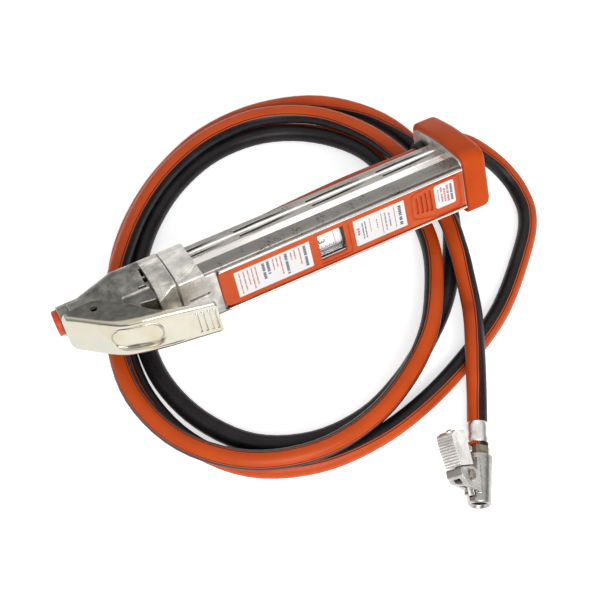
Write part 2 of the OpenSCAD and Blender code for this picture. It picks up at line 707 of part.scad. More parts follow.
// Outlines as (x, out)
lug_outline = [[12, 0], [12, 8.4], [19.5, 9.4], [20.8, 10.2], [20, 11.8], [19.95, 13.2], [20.2, 15], [23.5, 24.6],
    [25, 25.2], [28.6, 24.2], [33, 18.5], [34, 9], [34, 0]];
lug_slot = [[10, 9], [10, 21.4], [28, 21.4], [29, 22.4], [36, 22.4], [36, 19.4], [29, 19.4], [29, 17], [36.4, 17],
    [36.4, 3.6], [28.6, 3.6], [28.6, 9]];
lever_outline = [[-1.6, 21.1], [1.4, 30.8], [4.9, 34], [12.2, 31.8], [22.9, 25.3], [18.35, 12.9]];
tongue_outline = [[16, 14], [18.4, 20.4], [24, 20.4], [26.4, 18.4], [28.6, 16], [28.4, 13.2], [25.6, 12],
    [18, 13.1]];
jaw_outline = [[29, 15], [30.4, 15], [30.8, 9.6], [35.4, 7.4], [35.6, 5.4], [34.4, 4.9], [29.6, 7.2], [29, 9]];
rib_count = 8;

module connector_ferrule() {
    color(bare_aluminium) at_connector() tube_x(7.1, hose_od / 2 + fit, -14.1, -0.4);
}
module hose_tail() {
    color(brass_colour) at_connector() {
        translate([hex_start, 0, 0]) rotate([0, 90, 0]) cylinder(r = 8, h = hex_end - hex_start, $fn = 6);
        bar_x(4, hex_end, hex_end + 6.4);
    }
}
module connector_body() {
    color(zinc_grey) at_connector() difference() {
        union() {
            translate([hex_end, 0, 0]) rotate([0, 90, 0])
                cylinder(r1 = connector_radius, r2 = mouth_radius, h = mouth_x - hex_end - 0.8);
            translate([mouth_x - 0.8, 0, 0]) rotate([0, 90, 0])
                cylinder(r1 = mouth_radius, r2 = mouth_radius - 0.8, h = 0.8);
            across_z(lug_half) polygon(lug_outline);
            translate([rivet_at[0], -rivet_at[1], 0]) cylinder(r = 4.2, h = 2 * lug_half + 0.8, center = true);
        }
        bar_x(4.02, hex_end - 1, hex_end + 6.9);
        bar_x(2, hex_end, mouth_x);
        bar_x(valve_bore, mouth_x - valve_depth, mouth_x + 1);
        bar_x(valve_bore + 0.9, mouth_x - valve_depth - seal_thick, mouth_x - valve_depth);
        across_z(slot_half) polygon(lug_slot);
        translate([rivet_at[0], -rivet_at[1], -10]) cylinder(r = rivet_radius, h = 20);
        translate([34, -30, lug_half]) rotate([0, 14, 0]) translate([0, 0, -20]) cube([6, 23, 30]);
    }
}
module valve_seal() {
    color(black_rubber) at_connector()
        tube_x(valve_bore + 0.9, 1.8, mouth_x - valve_depth - seal_thick, mouth_x - valve_depth);
}
module core_depressor() {
    color(brass_colour) at_connector() bar_x(1.2, mouth_x - valve_depth - 6, mouth_x - valve_depth - seat);
}
// Thumb lever: a ribbed block with a tongue that pivots in the lug
module connector_lever() {
    color(zinc_grey) at_connector() difference() {
        union() {
            across_z(lug_half) polygon(lever_outline);
            across_z(tongue_half) polygon(tongue_outline);
        }
        for (i = [0:rib_count - 1]) lever_groove((i + 0.5) / rib_count);
        translate([rivet_at[0], -rivet_at[1], -10]) cylinder(r = rivet_radius + fit, h = 20);
        bar_y(2.9, -spring_top, -8, spring_x_at);
    }
}
// Groove across the thumb face, a fraction f of the way from its outer corner to its seam
module lever_groove(f) {
    a = lever_outline[3] + [-1.5, 0.4];
    b = lever_outline[4];
    translate([a[0] + f * (b[0] - a[0]), -a[1] - f * (b[1] - a[1]) - 0.15, -10]) cylinder(r = 0.45, h = 20, $fn = 24);
}
module lever_rivet() {
    color(bright_steel) at_connector() translate([rivet_at[0], -rivet_at[1], 0]) {
        cylinder(r = rivet_radius - 0.02, h = 2 * lug_half + 0.8, center = true);
        for (side = [0, 1]) mirror([0, 0, side]) translate([0, 0, lug_half + 0.4])
            tube_head();
    }
}
// Dished head of the rivet
module tube_head() {
    difference() {
        cylinder(r = 3.2, h = 0.7);
        translate([0, 0, 0.35]) cylinder(r1 = 2.2, r2 = 2.6, h = 0.4);
    }
}
module clip_jaw() {
    color(bright_steel) at_connector() across_z(jaw_half) polygon(jaw_outline);
}
module clip_spring() {
    color(bright_steel) at_connector() translate([spring_x_at, -8.9, 0]) rotate([0, 0, -90])
        spring_x(0, spring_top - 8.9, 2.2, 0.6, 5);
}

barrel();
adapter();
head_gasket();
label_panel();
window_lens();
valve_head();
inlet_plug();
inlet_strainer();
trigger_lever();
lever_pivot_pin();
valve_plunger();
plunger_seal();
plunger_spring();
valve_cap();
gauge_cylinder();
gauge_piston();
piston_seal();
piston_rod();
scale_sleeve();
gauge_spring();
cylinder_cap();
end_flange();
flange_screws();
rubber_buffer();
hose_grommet();
head_ferrule();
hose();
connector_ferrule();
hose_tail();
connector_body();
valve_seal();
core_depressor();
connector_lever();
lever_rivet();
clip_jaw();
clip_spring();
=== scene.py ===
"""The looks of a tyre inflator with a sliding gauge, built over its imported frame.

Pieces are modelled in millimetres in the frame of their own sub-assembly, the tool or the clip-on
connector, and the last step puts each in its place in metres.
"""

import logging
import math
import random
from dataclasses import dataclass
from enum import Enum
from typing import Callable, Sequence

import bmesh
import bpy
from mathutils import Matrix, Vector


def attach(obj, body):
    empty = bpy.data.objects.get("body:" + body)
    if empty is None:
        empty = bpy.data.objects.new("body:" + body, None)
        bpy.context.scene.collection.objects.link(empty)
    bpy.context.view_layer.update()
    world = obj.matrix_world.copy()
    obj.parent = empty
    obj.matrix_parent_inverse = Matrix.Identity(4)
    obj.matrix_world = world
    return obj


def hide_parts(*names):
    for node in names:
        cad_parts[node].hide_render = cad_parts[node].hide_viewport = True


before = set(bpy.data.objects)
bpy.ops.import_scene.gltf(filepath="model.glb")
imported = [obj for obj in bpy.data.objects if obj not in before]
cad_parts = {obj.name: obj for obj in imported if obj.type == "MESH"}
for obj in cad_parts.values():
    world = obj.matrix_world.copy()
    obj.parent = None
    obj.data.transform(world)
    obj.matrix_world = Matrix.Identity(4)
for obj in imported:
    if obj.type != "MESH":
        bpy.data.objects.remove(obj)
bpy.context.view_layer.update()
log = logging.getLogger("inflator")

MM = 0.001
Flat = tuple[float, float]
Point = tuple[float, float, float]
Colour = tuple[float, float, float]
Piece = bpy.types.Object
Socket = bpy.types.NodeSocket


# ---- places ----


@dataclass(frozen=True)
class Placing:
    """Where a sub-assembly's own frame lies: an origin in millimetres, and turns applied in order."""

    origin: Point
    turns: tuple[tuple[float, str], ...]

    def matrix(self) -> Matrix:
        """Works out how the sub-assembly lies in the object's frame.

        Returns:
            The matrix from millimetres in its own frame to metres in the object's.
        """
        place = Matrix.Scale(MM, 4) @ Matrix.Translation(self.origin)
        for angle, axis in self.turns:
            place = place @ Matrix.Rotation(math.radians(angle), 4, axis)
        return place


TOOL = Placing((10.0, 77.15, 51.5), ((-26.0, "X"),))
CLIP = Placing((61.0, -87.5, 9.0), ((-119.0, "Z"), (-46.0, "X")))


class Body(Enum):
    """The bodies that pieces ride on."""

    TOOL = "tool"
    TRIGGER = "trigger"
    PLUNGER = "plunger"
    GAUGE = "gauge_slide"
    PLUG = "plug"
    THUMB = "thumb_lever"
    JAW = "jaw"


class Slot(Enum):
    """The material slots of the record."""

    ALUMINIUM = "bare_aluminium"
    CAST = "cast_zinc"
    PLATED = "plated_lever"
    ORANGE_PLASTIC = "orange_plastic"
    ORANGE_RUBBER = "orange_rubber"
    HOSE = "hose_rubber"
    BLACK_RUBBER = "black_rubber"
    CLEAR = "clear_plastic"
    WHITE = "white_plastic"
    STEEL = "bright_steel"
    BRASS = "turned_brass"
    HEXAGON = "dark_plate"


# ---- node trees ----


class NodeSheet:
    """A node tree being laid out, with short calls for the nodes that the finishes use."""

    def __init__(self, tree: bpy.types.NodeTree) -> None:
        """Starts on an empty or a new tree."""
        self.tree = tree

    def put(self, socket: Socket, value: object) -> None:
        """Links an input, or sets its value.

        Args:
            socket: The input.
            value: The output that it is linked to, or a plain value.
        """
        if isinstance(value, Socket):
            self.tree.links.new(value, socket)
        else:
            socket.default_value = value

    def add(self, kind: str, inputs: dict | None = None, **settings: object) -> bpy.types.Node:
        """Adds a node.

        Args:
            kind: The node's Blender type.
            inputs: Values or sockets, by the input's name or number.
            settings: Properties of the node itself.

        Returns:
            The new node.
        """
        node = self.tree.nodes.new(kind)
        for name, value in settings.items():
            setattr(node, name, value)
        for key, value in (inputs or {}).items():
            self.put(node.inputs[key], value)
        return node

    def sum(self, operation: str, *values: object) -> Socket:
        """One step of arithmetic, named as the Math node names it."""
        return self.add("ShaderNodeMath", dict(enumerate(values)), operation=operation).outputs[0]

    def part(self, vector: object, axis: int) -> Socket:
        """One coordinate of a vector."""
        return self.add("ShaderNodeSeparateXYZ", {0: vector}).outputs[axis]

    def scaled(self, vector: object, factor: object) -> Socket:
        """A vector or a colour times a value."""
        return self.add("ShaderNodeVectorMath", {0: vector, "Scale": factor}, operation="SCALE").outputs[0]

    def noise(self, vector: object, scale: object, detail: float = 3.0, rough: float = 0.55) -> Socket:
        """A noise value from 0 to 1, whose scale is per unit of the vector."""
        inputs = {"Vector": vector, "Scale": scale, "Detail": detail, "Roughness": rough}
        return self.add("ShaderNodeTexNoise", inputs).outputs["Fac"]

    def spread(self, value: object, low: float, high: float, to_low: float = 0.0,
               to_high: float = 1.0) -> Socket:
        """A value from low to high, spread over another range and kept within it."""
        inputs = {"Value": value, "From Min": low, "From Max": high, "To Min": to_low, "To Max": to_high}
        return self.add("ShaderNodeMapRange", inputs, clamp=True).outputs[0]

    def band(self, value: object, rise: Flat, fall: Flat, fall_from: float = 1.0) -> Socket:
        """A mask that rises from 0 between two values and falls back to 0 between two others."""
        up, down = self.spread(value, *rise), self.spread(value, *fall, fall_from, 0.0)
        return self.sum("MULTIPLY", up, down)

    def tint(self, share: object, first: object, second: object) -> Socket:
        """A colour between two others.

        Args:
            share: How much of the second colour there is, from 0 to 1.
            first: The first colour, or its socket.
            second: The second one.

        Returns:
            The mixed colour.
        """
        def full(colour: object) -> object:
            """A plain colour with its alpha, or a socket as it is."""
            return (*colour, 1.0) if isinstance(colour, tuple) else colour

        # The node has inputs for values, vectors and colours, and the colours' are 6 and 7
        node = self.add("ShaderNodeMix", data_type="RGBA")
        self.put(node.inputs[0], share)
        self.put(node.inputs[6], full(first))
        self.put(node.inputs[7], full(second))
        return node.outputs[2]

    def ramp(self, value: object, shades: Sequence[tuple[float, Colour]]) -> Socket:
        """A colour read off a row of others.

        Args:
            value: Where to read, from 0 to 1.
            shades: (place, colour) pairs in order, at least two.

        Returns:
            The colour.
        """
        node = self.add("ShaderNodeValToRGB", {0: value})
        stops = node.color_ramp.elements
        while len(stops) < len(shades):
            stops.new(0.5)
        for stop, (place, colour) in zip(stops, shades):
            stop.position = place
            stop.color = (*colour, 1.0)
        return node.outputs[0]

    def bump(self, height: object, depth: float, strength: float = 1.0) -> Socket:
        """A normal that stands for relief of a depth in metres."""
        inputs = {"Height": height, "Distance": depth, "Strength": strength}
        return self.add("ShaderNodeBump", inputs).outputs[0]

    def mask(self, group: bpy.types.NodeTree, **inputs: object) -> Socket:
        """The mask that a shared effect puts out, from its named inputs."""
        return self.add("ShaderNodeGroup", inputs, node_tree=group).outputs["Mask"]

    def own_place(self, placing: Placing) -> Socket:
        """The shaded point in millimetres in a sub-assembly's frame.

        Args:
            placing: Where that frame lies.

        Returns:
            The point's socket.
        """
        move, turn, size = placing.matrix().inverted().decompose()
        inputs = {"Vector": self.add("ShaderNodeTexCoord").outputs["Object"],
                  "Location": move, "Rotation": turn.to_euler(), "Scale": size}
        return self.add("ShaderNodeMapping", inputs).outputs[0]


def effect(name: str, inputs: dict[str, tuple[str, float]], outputs: dict[str, str],
           lay_out: Callable[[NodeSheet, dict], dict]) -> bpy.types.NodeTree:
    """A shader node group that several finishes share.

    Args:
        name: The group's name.
        inputs: For each input, its kind of socket and its default.
        outputs: For each output, its kind of socket.
        lay_out: Lays the nodes out from the inputs' sockets and returns the outputs' ones.

    Returns:
        The group, made on the first call and kept.
    """
    if name in bpy.data.node_groups:
        return bpy.data.node_groups[name]
    tree = bpy.data.node_groups.new(name, "ShaderNodeTree")
    for key, (kind, value) in inputs.items():
        socket = tree.interface.new_socket(key, in_out="INPUT", socket_type=kind)
        if kind == "NodeSocketFloat":
            socket.default_value = value
    for key, kind in outputs.items():
        tree.interface.new_socket(key, in_out="OUTPUT", socket_type=kind)
    sheet = NodeSheet(tree)
    entry = sheet.add("NodeGroupInput")
    exit_ = sheet.add("NodeGroupOutput")
    for key, socket in lay_out(sheet, {k: entry.outputs[k] for k in inputs}).items():
        sheet.put(exit_.inputs[key], socket)
    return tree


def stains() -> bpy.types.NodeTree:
    """Patchy specks, gathered in clouds, as on handled bare metal.

    Returns:
        The group, which puts out a mask.
    """
    def lay_out(sheet: NodeSheet, given: dict) -> dict:
        """Keeps the specks where the clouds are.

        Args:
            sheet: The group's node tree.
            given: The sockets of the group's inputs, by name.

        Returns:
            The sockets that the group puts out, by name.
        """
        clouds = sheet.noise(given["Vector"], 0.09, 2.0)
        specks = sheet.noise(given["Vector"], given["Fineness"], 4.0, 0.7)
        both = sheet.sum("MULTIPLY", sheet.spread(clouds, 0.45, 0.62), sheet.spread(specks, 0.5, 0.64))
        return {"Mask": sheet.sum("MULTIPLY", both, given["Amount"])}

    inputs = {"Vector": ("NodeSocketVector", 0.0), "Fineness": ("NodeSocketFloat", 1.2),
              "Amount": ("NodeSocketFloat", 0.7)}
    return effect("Stains", inputs, {"Mask": "NodeSocketFloat"}, lay_out)


def streaks() -> bpy.types.NodeTree:
    """Fine lines along the first axis, as an extrusion or a polish leaves.

    Returns:
        The group, which puts out a mask.
    """
    def lay_out(sheet: NodeSheet, given: dict) -> dict:
        """Draws a noise out along the first axis.

        Args:
            sheet: The group's node tree.
            given: The sockets of the group's inputs, by name.

        Returns:
            The sockets that the group puts out, by name.
        """
        inputs = {0: given["Vector"], 1: (0.012, 1.0, 1.0)}
        drawn = sheet.add("ShaderNodeVectorMath", inputs, operation="MULTIPLY").outputs[0]
        return {"Mask": sheet.spread(sheet.noise(drawn, given["Fineness"], 5.0, 0.65), 0.3, 0.7)}

    inputs = {"Vector": ("NodeSocketVector", 0.0), "Fineness": ("NodeSocketFloat", 2.0)}
    return effect("Streaks", inputs, {"Mask": "NodeSocketFloat"}, lay_out)


def worn_edges() -> bpy.types.NodeTree:
    """The outer edges of a finely meshed piece, broken up by grain.

    Returns:
        The group, which puts out a mask.
    """
    def lay_out(sheet: NodeSheet, given: dict) -> dict:
        """Takes the sharp places, and thins them out by grain.

        Args:
            sheet: The group's node tree.
            given: The sockets of the group's inputs, by name.

        Returns:
            The sockets that the group puts out, by name.
        """
        sharp = sheet.spread(sheet.add("ShaderNodeNewGeometry").outputs["Pointiness"], 0.51, 0.58)
        grain = sheet.spread(sheet.noise(given["Vector"], 0.8, 4.0), 0.3, 0.6, 0.4, 1.0)
        return {"Mask": sheet.sum("MULTIPLY", sheet.sum("MULTIPLY", sharp, grain), given["Amount"])}

    inputs = {"Vector": ("NodeSocketVector", 0.0), "Amount": ("NodeSocketFloat", 0.7)}
    return effect("WornEdges", inputs, {"Mask": "NodeSocketFloat"}, lay_out)


# ---- finishes ----


@dataclass(frozen=True)
class Finish:
    """A finish that becomes one material, the first time that it is asked for."""

    name: str
    placing: Placing = TOOL

    def material(self) -> bpy.types.Material:
        """The finish as a material.

        Returns:
            The material, made on the first call and kept.
        """
        if self.name in bpy.data.materials and bpy.data.materials[self.name].get("own"):
            return bpy.data.materials[self.name]
        made = bpy.data.materials.new(self.name)
        made["own"] = True
        made.use_nodes = True
        sheet = NodeSheet(made.node_tree)
        shader = made.node_tree.nodes["Principled BSDF"]
        self.lay_out(sheet, shader, sheet.own_place(self.placing))
        return made

    def lay_out(self, sheet: NodeSheet, shader: bpy.types.Node, here: Socket) -> None:
        """Lays out the nodes that feed the shader, from the shaded point in millimetres."""
        raise NotImplementedError


@dataclass(frozen=True)
class CastMetal(Finish):
    """Bare die casting: mottled and stained, rubbed bright along its edges."""

    light: Colour = (0.46, 0.44, 0.40)
    dark: Colour = (0.20, 0.195, 0.18)
    stain: Colour = (0.07, 0.065, 0.06)
    edge: Colour = (0.80, 0.79, 0.76)
    staining: float = 0.6
    wear: float = 0.8
    rough: Flat = (0.30, 0.46)
    # Painted light: a place along the sub-assembly, and the brightness before and after it, darker there for
    # painted shade and brighter for a painted highlight
    tone: tuple[float, float, float] = (0.0, 1.0, 1.0)

    def lay_out(self, sheet: NodeSheet, shader: bpy.types.Node, here: Socket) -> None:
        """Lays out mottle, then stains, then a step of painted light and shade along the sub-assembly, then
        worn edges over all.

        Args:
            sheet: The node tree.
            shader: Its shader.
            here: The shaded point.
        """
        mottle = sheet.spread(sheet.noise(here, 0.11, 5.0, 0.6), 0.35, 0.65)
        spots = sheet.mask(stains(), Vector=here, Fineness=0.9, Amount=self.staining)
        wear = sheet.mask(worn_edges(), Vector=here, Amount=self.wear)
        colour = sheet.tint(spots, sheet.tint(mottle, self.dark, self.light), self.stain)
        # Painted light and shade: a step in brightness along the sub-assembly
        place, before, after = self.tone
        tone = sheet.spread(sheet.part(here, 0), place - 0.4, place + 0.4, before, after)
        sheet.put(shader.inputs["Base Color"], sheet.tint(wear, sheet.scaled(colour, tone), self.edge))
        shader.inputs["Metallic"].default_value = 1.0
        smooth, coarse = self.rough
        sheet.put(shader.inputs["Roughness"], sheet.spread(mottle, 0.0, 1.0, coarse, smooth))
        grain = sheet.noise(here, 1.6, 6.0, 0.7)
        sheet.put(shader.inputs["Normal"], sheet.bump(grain, 0.00012, 0.6))


@dataclass(frozen=True)
class ExtrudedMetal(Finish):
    """The extruded barrel: bands of painted highlight and painted shade across it, stained where the painted
    bands are dark, and streaked along it.
    """

    # Painted highlight and shade across the side faces, from the label edge to the back, as (distance from
    # the axis, brightness)
    bands: tuple[Flat, ...] = (
        (-24.4, 1.0), (-24.0, 0.96), (-23.7, 0.62), (-22.9, 0.58), (-22.3, 0.36), (-16.0, 0.28),
        (-9.5, 0.30), (-8.8, 0.98), (-1.2, 0.98), (-0.4, 0.48), (1.8, 0.50), (6.0, 0.50), (6.6, 0.92),
        (8.8, 0.92), (9.4, 0.50), (13.0, 0.46), (18.0, 0.42))
    warmth: Colour = (1.0, 0.95, 0.895)
    streak: Colour = (0.24, 0.23, 0.21)
    dirt: Colour = (0.03, 0.028, 0.025)
    # Where the two bright lands lie across the side faces, which the bands paint with a highlight, and how
    # far their normals lean
    lands: tuple[Flat, ...] = ((-9.0, -1.0), (6.4, 9.0))
    land_edge: float = 0.4
    lean: Colour = (0.0, -0.32, 0.08)
    # The flutes' painted shade: where one starts, their pitch, how far each stays dark, where it has faded
    flutes: tuple[float, float, float, float] = (-31.2, 51.7, 27.0, 42.0)
    # Each row of flutes, as its place across the side face and its shift along it
    rows: tuple[Flat, ...] = ((11.2, 0.0), (4.0, 1.5))
    row_half: float = 1.25
    row_edge: float = 0.3
    side_from: float = 13.0
    # The colour of the painted shade in the flutes
    shadow: Colour = (0.035, 0.032, 0.029)
    # The gauge window's lining, as half its width, its ends along the tool and how far forward it comes
    lining: tuple[float, float, float, float] = (13.0, 11.0, 33.0, -21.65)
    lining_white: Colour = (0.86, 0.86, 0.84)
    lining_black: Colour = (0.01, 0.01, 0.01)
    lining_line: tuple[Flat, Flat] = ((-19.0, -18.8), (-17.0, -16.8))

    def lay_out(self, sheet: NodeSheet, shader: bpy.types.Node, here: Socket) -> None:
        """Lays out painted highlight and shade in bands across the section, then streaks, stains, painted
        shade in the flutes and the window's lining.

        Args:
            sheet: The node tree.
            shader: Its shader.
            here: The shaded point.
        """
        across = sheet.part(here, 1)
        side = sheet.sum("ABSOLUTE", sheet.part(here, 2))
        # Painted highlight and shade in bands across the side faces
        bands = self.banded(sheet, across)
        # The painted bands' brightness as one value
        shade = sheet.sum("MULTIPLY", bands, 1.0)
        lines = sheet.mask(streaks(), Vector=here, Fineness=1.6)
        spots = sheet.mask(stains(), Vector=here, Fineness=0.8, Amount=1.0)
        colour = sheet.tint(sheet.sum("MULTIPLY", lines, 0.35), bands, self.streak)
        # Stains only where the painted bands are dark
        dull = sheet.spread(shade, 0.45, 0.7, 1.0, 0.0)
        colour = sheet.tint(sheet.sum("MULTIPLY", spots, dull), colour, self.dirt)
        # Painted shade in the flutes' hollows, on the side faces only
        beside = sheet.sum("GREATER_THAN", side, self.side_from)
        hollow = sheet.sum("MULTIPLY", self.flute_mask(sheet, here), beside)
        colour = sheet.tint(hollow, colour, self.shadow)
        lining = self.lining_mask(sheet, here, side)
        lined = sheet.tint(sheet.band(across, *self.lining_line), self.lining_white, self.lining_black)
        sheet.put(shader.inputs["Base Color"], sheet.tint(lining, colour, lined))
        sheet.put(shader.inputs["Metallic"], sheet.sum("SUBTRACT", 1.0, lining))
        gloss = sheet.spread(shade, 0.35, 0.9, 0.38, 0.2)
        matt = sheet.sum("MULTIPLY", lining, 0.6)
        sheet.put(shader.inputs["Roughness"], sheet.sum("MAXIMUM", gloss, matt))
        sheet.put(shader.inputs["Normal"], self.leaning(sheet, across, lines))

    def banded(self, sheet: NodeSheet, across: Socket) -> Socket:
        """The painted highlight and shade of the bands, as a colour.

        Args:
            sheet: The node tree.
            across: The distance from the axis, across the side faces.

        Returns:
            The colour.
        """
        first, last = self.bands[0][0], self.bands[-1][0]
        shades = [((place - first) / (last - first), tuple(shade * part for part in self.warmth))
                  for place, shade in self.bands]
        return sheet.ramp(sheet.spread(across, first, last), shades)

    def leaning(self, sheet: NodeSheet, across: Socket, lines: Socket) -> Socket:
        """The normal, which leans forward on the bright lands.

        Args:
            sheet: The node tree.
            across: The distance from the axis, across the side faces.
            lines: The streaks, which stand as fine relief.

        Returns:
            The normal.
        """
        land = 0.0
        for low, high in self.lands:
            one = sheet.band(across, (low, low + self.land_edge), (high - self.land_edge, high))
            land = sheet.sum("MAXIMUM", land, one)
        inputs = {0: sheet.bump(lines, 0.00002, 0.5), 1: sheet.scaled(self.lean, land)}
        leant = sheet.add("ShaderNodeVectorMath", inputs, operation="ADD").outputs[0]
        return sheet.add("ShaderNodeVectorMath", {0: leant}, operation="NORMALIZE").outputs[0]

    def flute_mask(self, sheet: NodeSheet, here: Socket) -> Socket:
        """Where painted shade darkens the flutes: 1 in their hollows, fading towards the end of each, and 0
        elsewhere.

        Args:
            sheet: The node tree.
            here: The shaded point.

        Returns:
            The mask.
        """
        first, pitch, dark, faded = self.flutes
        mask = 0.0
        for place, shift in self.rows:
            run = sheet.sum("DIVIDE", sheet.sum("SUBTRACT", sheet.part(here, 0), first + shift), pitch)
            along = sheet.sum("MULTIPLY", sheet.sum("FRACT", run), pitch)
            off = sheet.sum("ABSOLUTE", sheet.sum("SUBTRACT", sheet.part(here, 1), place))
            inside = sheet.spread(off, self.row_half - self.row_edge, self.row_half, 1.0, 0.0)
            flute = sheet.sum("MULTIPLY", inside, sheet.spread(along, dark, faded, 1.0, 0.0))
            mask = sheet.sum("MAXIMUM", mask, flute)
        return mask

    def lining_mask(self, sheet: NodeSheet, here: Socket, side: Socket) -> Socket:
        """1 inside the gauge window, where the barrel is lined with white, and 0 outside it.

        Args:
            sheet: The node tree.
            here: The shaded point.
            side: Its distance from the tool's middle plane.

        Returns:
            The mask.
        """
        half, start, end, front = self.lining
        along = sheet.sum("MULTIPLY", sheet.sum("GREATER_THAN", sheet.part(here, 0), start),
                          sheet.sum("LESS_THAN", sheet.part(here, 0), end))
        deep = sheet.sum("MULTIPLY", sheet.sum("GREATER_THAN", sheet.part(here, 1), front),
                         sheet.sum("LESS_THAN", side, half))
        return sheet.sum("MULTIPLY", along, deep)


@dataclass(frozen=True)
class PlatedSteel(Finish):
    """Yellow-passivated zinc on pressed steel: pale gold with faint clouds of grey-blue."""

    base: Colour = (0.555, 0.53, 0.445)
    gold: Colour = (0.53, 0.465, 0.33)
    blue: Colour = (0.49, 0.51, 0.48)
    # The painted shade on the flat cheeks, and the colour of its lighter random patches
    dull: Colour = (0.15, 0.145, 0.13)
    worn: Colour = (0.26, 0.245, 0.21)
    cheek_at: float = 13.3
    # Painted shade on the dimple's walls: the dimple's middle along and across, half its reach, its half
    # width, and the shade's colour
    dimple: tuple[float, float, float, float] = (-115.2, 0.6, 8.1, 6.9)
    dimple_front: float = -20.0
    wall: Colour = (0.26, 0.26, 0.235)

    def lay_out(self, sheet: NodeSheet, shader: bpy.types.Node, here: Socket) -> None:
        """Lays out clouds of colour on the face, painted shade on the dimple's wall, and painted shade on the
        flat cheeks, lighter in random patches.

        Args:
            sheet: The node tree.
            shader: Its shader.
            here: The shaded point.
        """
        clouds = sheet.noise(here, 0.045, 3.0, 0.5)
        colour = sheet.tint(sheet.spread(clouds, 0.50, 0.68), self.base, self.gold)
        colour = sheet.tint(sheet.spread(clouds, 0.30, 0.44, 0.6, 0.0), colour, self.blue)
        # Painted shade on the dimple's wall
        colour = sheet.tint(self.dimple_wall(sheet, here), colour, self.wall)
        # Painted shade on the flat cheeks, broken up by noise
        side = sheet.sum("ABSOLUTE", sheet.part(here, 2))
        cheek = sheet.spread(side, self.cheek_at, self.cheek_at + 0.2)
        film = sheet.tint(sheet.spread(sheet.noise(here, 0.2, 5.0), 0.35, 0.7), self.dull, self.worn)
        sheet.put(shader.inputs["Base Color"], sheet.tint(cheek, colour, film))
        shader.inputs["Metallic"].default_value = 1.0
        fine = sheet.noise(here, 0.2, 2.0)
        sheet.put(shader.inputs["Roughness"], sheet.spread(fine, 0.3, 0.7, 0.19, 0.25))
        sheet.put(shader.inputs["Normal"], sheet.bump(sheet.noise(here, 0.15, 1.0), 0.00002, 0.2))

    def dimple_wall(self, sheet: NodeSheet, here: Socket) -> Socket:
        """Where painted shade darkens the dimple: 1 on its steep wall, and 0 elsewhere.

        Args:
            sheet: The node tree.
            here: The shaded point.

        Returns:
            The mask.
        """
        along, level, reach, half = self.dimple
        past = sheet.sum("ABSOLUTE", sheet.sum("SUBTRACT", sheet.part(here, 0), along))
        past = sheet.sum("MAXIMUM", sheet.sum("SUBTRACT", past, reach), 0.0)
        beside = sheet.sum("SUBTRACT", sheet.part(here, 2), level)
        squares = sheet.sum("ADD", sheet.sum("MULTIPLY", past, past), sheet.sum("MULTIPLY", beside, beside))
        ring = sheet.band(sheet.sum("SQRT", squares), (half - 1.0, half - 0.3), (half, half + 0.5), 0.75)
        return sheet.sum("MULTIPLY", ring, sheet.sum("LESS_THAN", sheet.part(here, 1), self.dimple_front))


@dataclass(frozen=True)
class TurnedMetal(Finish):
    """Turned or drawn metal with fine marks and light tarnish."""

    base: Colour = (0.78, 0.77, 0.75)
    tarnish: Colour = (0.50, 0.48, 0.44)
    rough: Flat = (0.16, 0.30)

    def lay_out(self, sheet: NodeSheet, shader: bpy.types.Node, here: Socket) -> None:
        """Lays out tarnish in clouds, and fine marks in the gloss.

        Args:
            sheet: The node tree.
            shader: Its shader.
            here: The shaded point.
        """
        clouds = sheet.spread(sheet.noise(here, 0.25, 4.0), 0.42, 0.72)
        sheet.put(shader.inputs["Base Color"], sheet.tint(clouds, self.base, self.tarnish))
        shader.inputs["Metallic"].default_value = 1.0
        sheet.put(shader.inputs["Roughness"], sheet.spread(clouds, 0.0, 1.0, *self.rough))
        sheet.put(shader.inputs["Normal"], sheet.bump(sheet.noise(here, 3.0, 3.0), 0.00002, 0.5))


@dataclass(frozen=True)
class Moulded(Finish):
    """Moulded plastic or rubber: fine grain, slight changes of tone, and dust in patches."""

    base: Colour = (0.6, 0.08, 0.02)
    shade: Colour = (0.45, 0.05, 0.012)
    dust: Colour = (0.70, 0.35, 0.25)
    dusting: float = 0.12
    rough: Flat = (0.32, 0.48)
    grain: float = 0.00004
    gloss: float = 0.5

    def lay_out(self, sheet: NodeSheet, shader: bpy.types.Node, here: Socket) -> None:
        """Lays out tone and dust in clouds, and grain as relief.

        Args:
            sheet: The node tree.
            shader: Its shader.
            here: The shaded point.
        """
        clouds = sheet.noise(here, 0.05, 3.0)
        colour = sheet.tint(sheet.spread(clouds, 0.35, 0.65), self.shade, self.base)
        powder = sheet.spread(sheet.noise(here, 0.5, 6.0, 0.7), 0.5, 0.75)
        powder = sheet.sum("MULTIPLY", powder, self.dusting)
        shader.inputs["Specular IOR Level"].default_value = self.gloss
        sheet.put(shader.inputs["Base Color"], sheet.tint(powder, colour, self.dust))
        rough = sheet.spread(sheet.noise(here, 0.3, 4.0), 0.3, 0.7, *self.rough)
        sheet.put(shader.inputs["Roughness"], rough)
        sheet.put(shader.inputs["Normal"], sheet.bump(sheet.noise(here, 4.0, 4.0, 0.6), self.grain, 0.7))


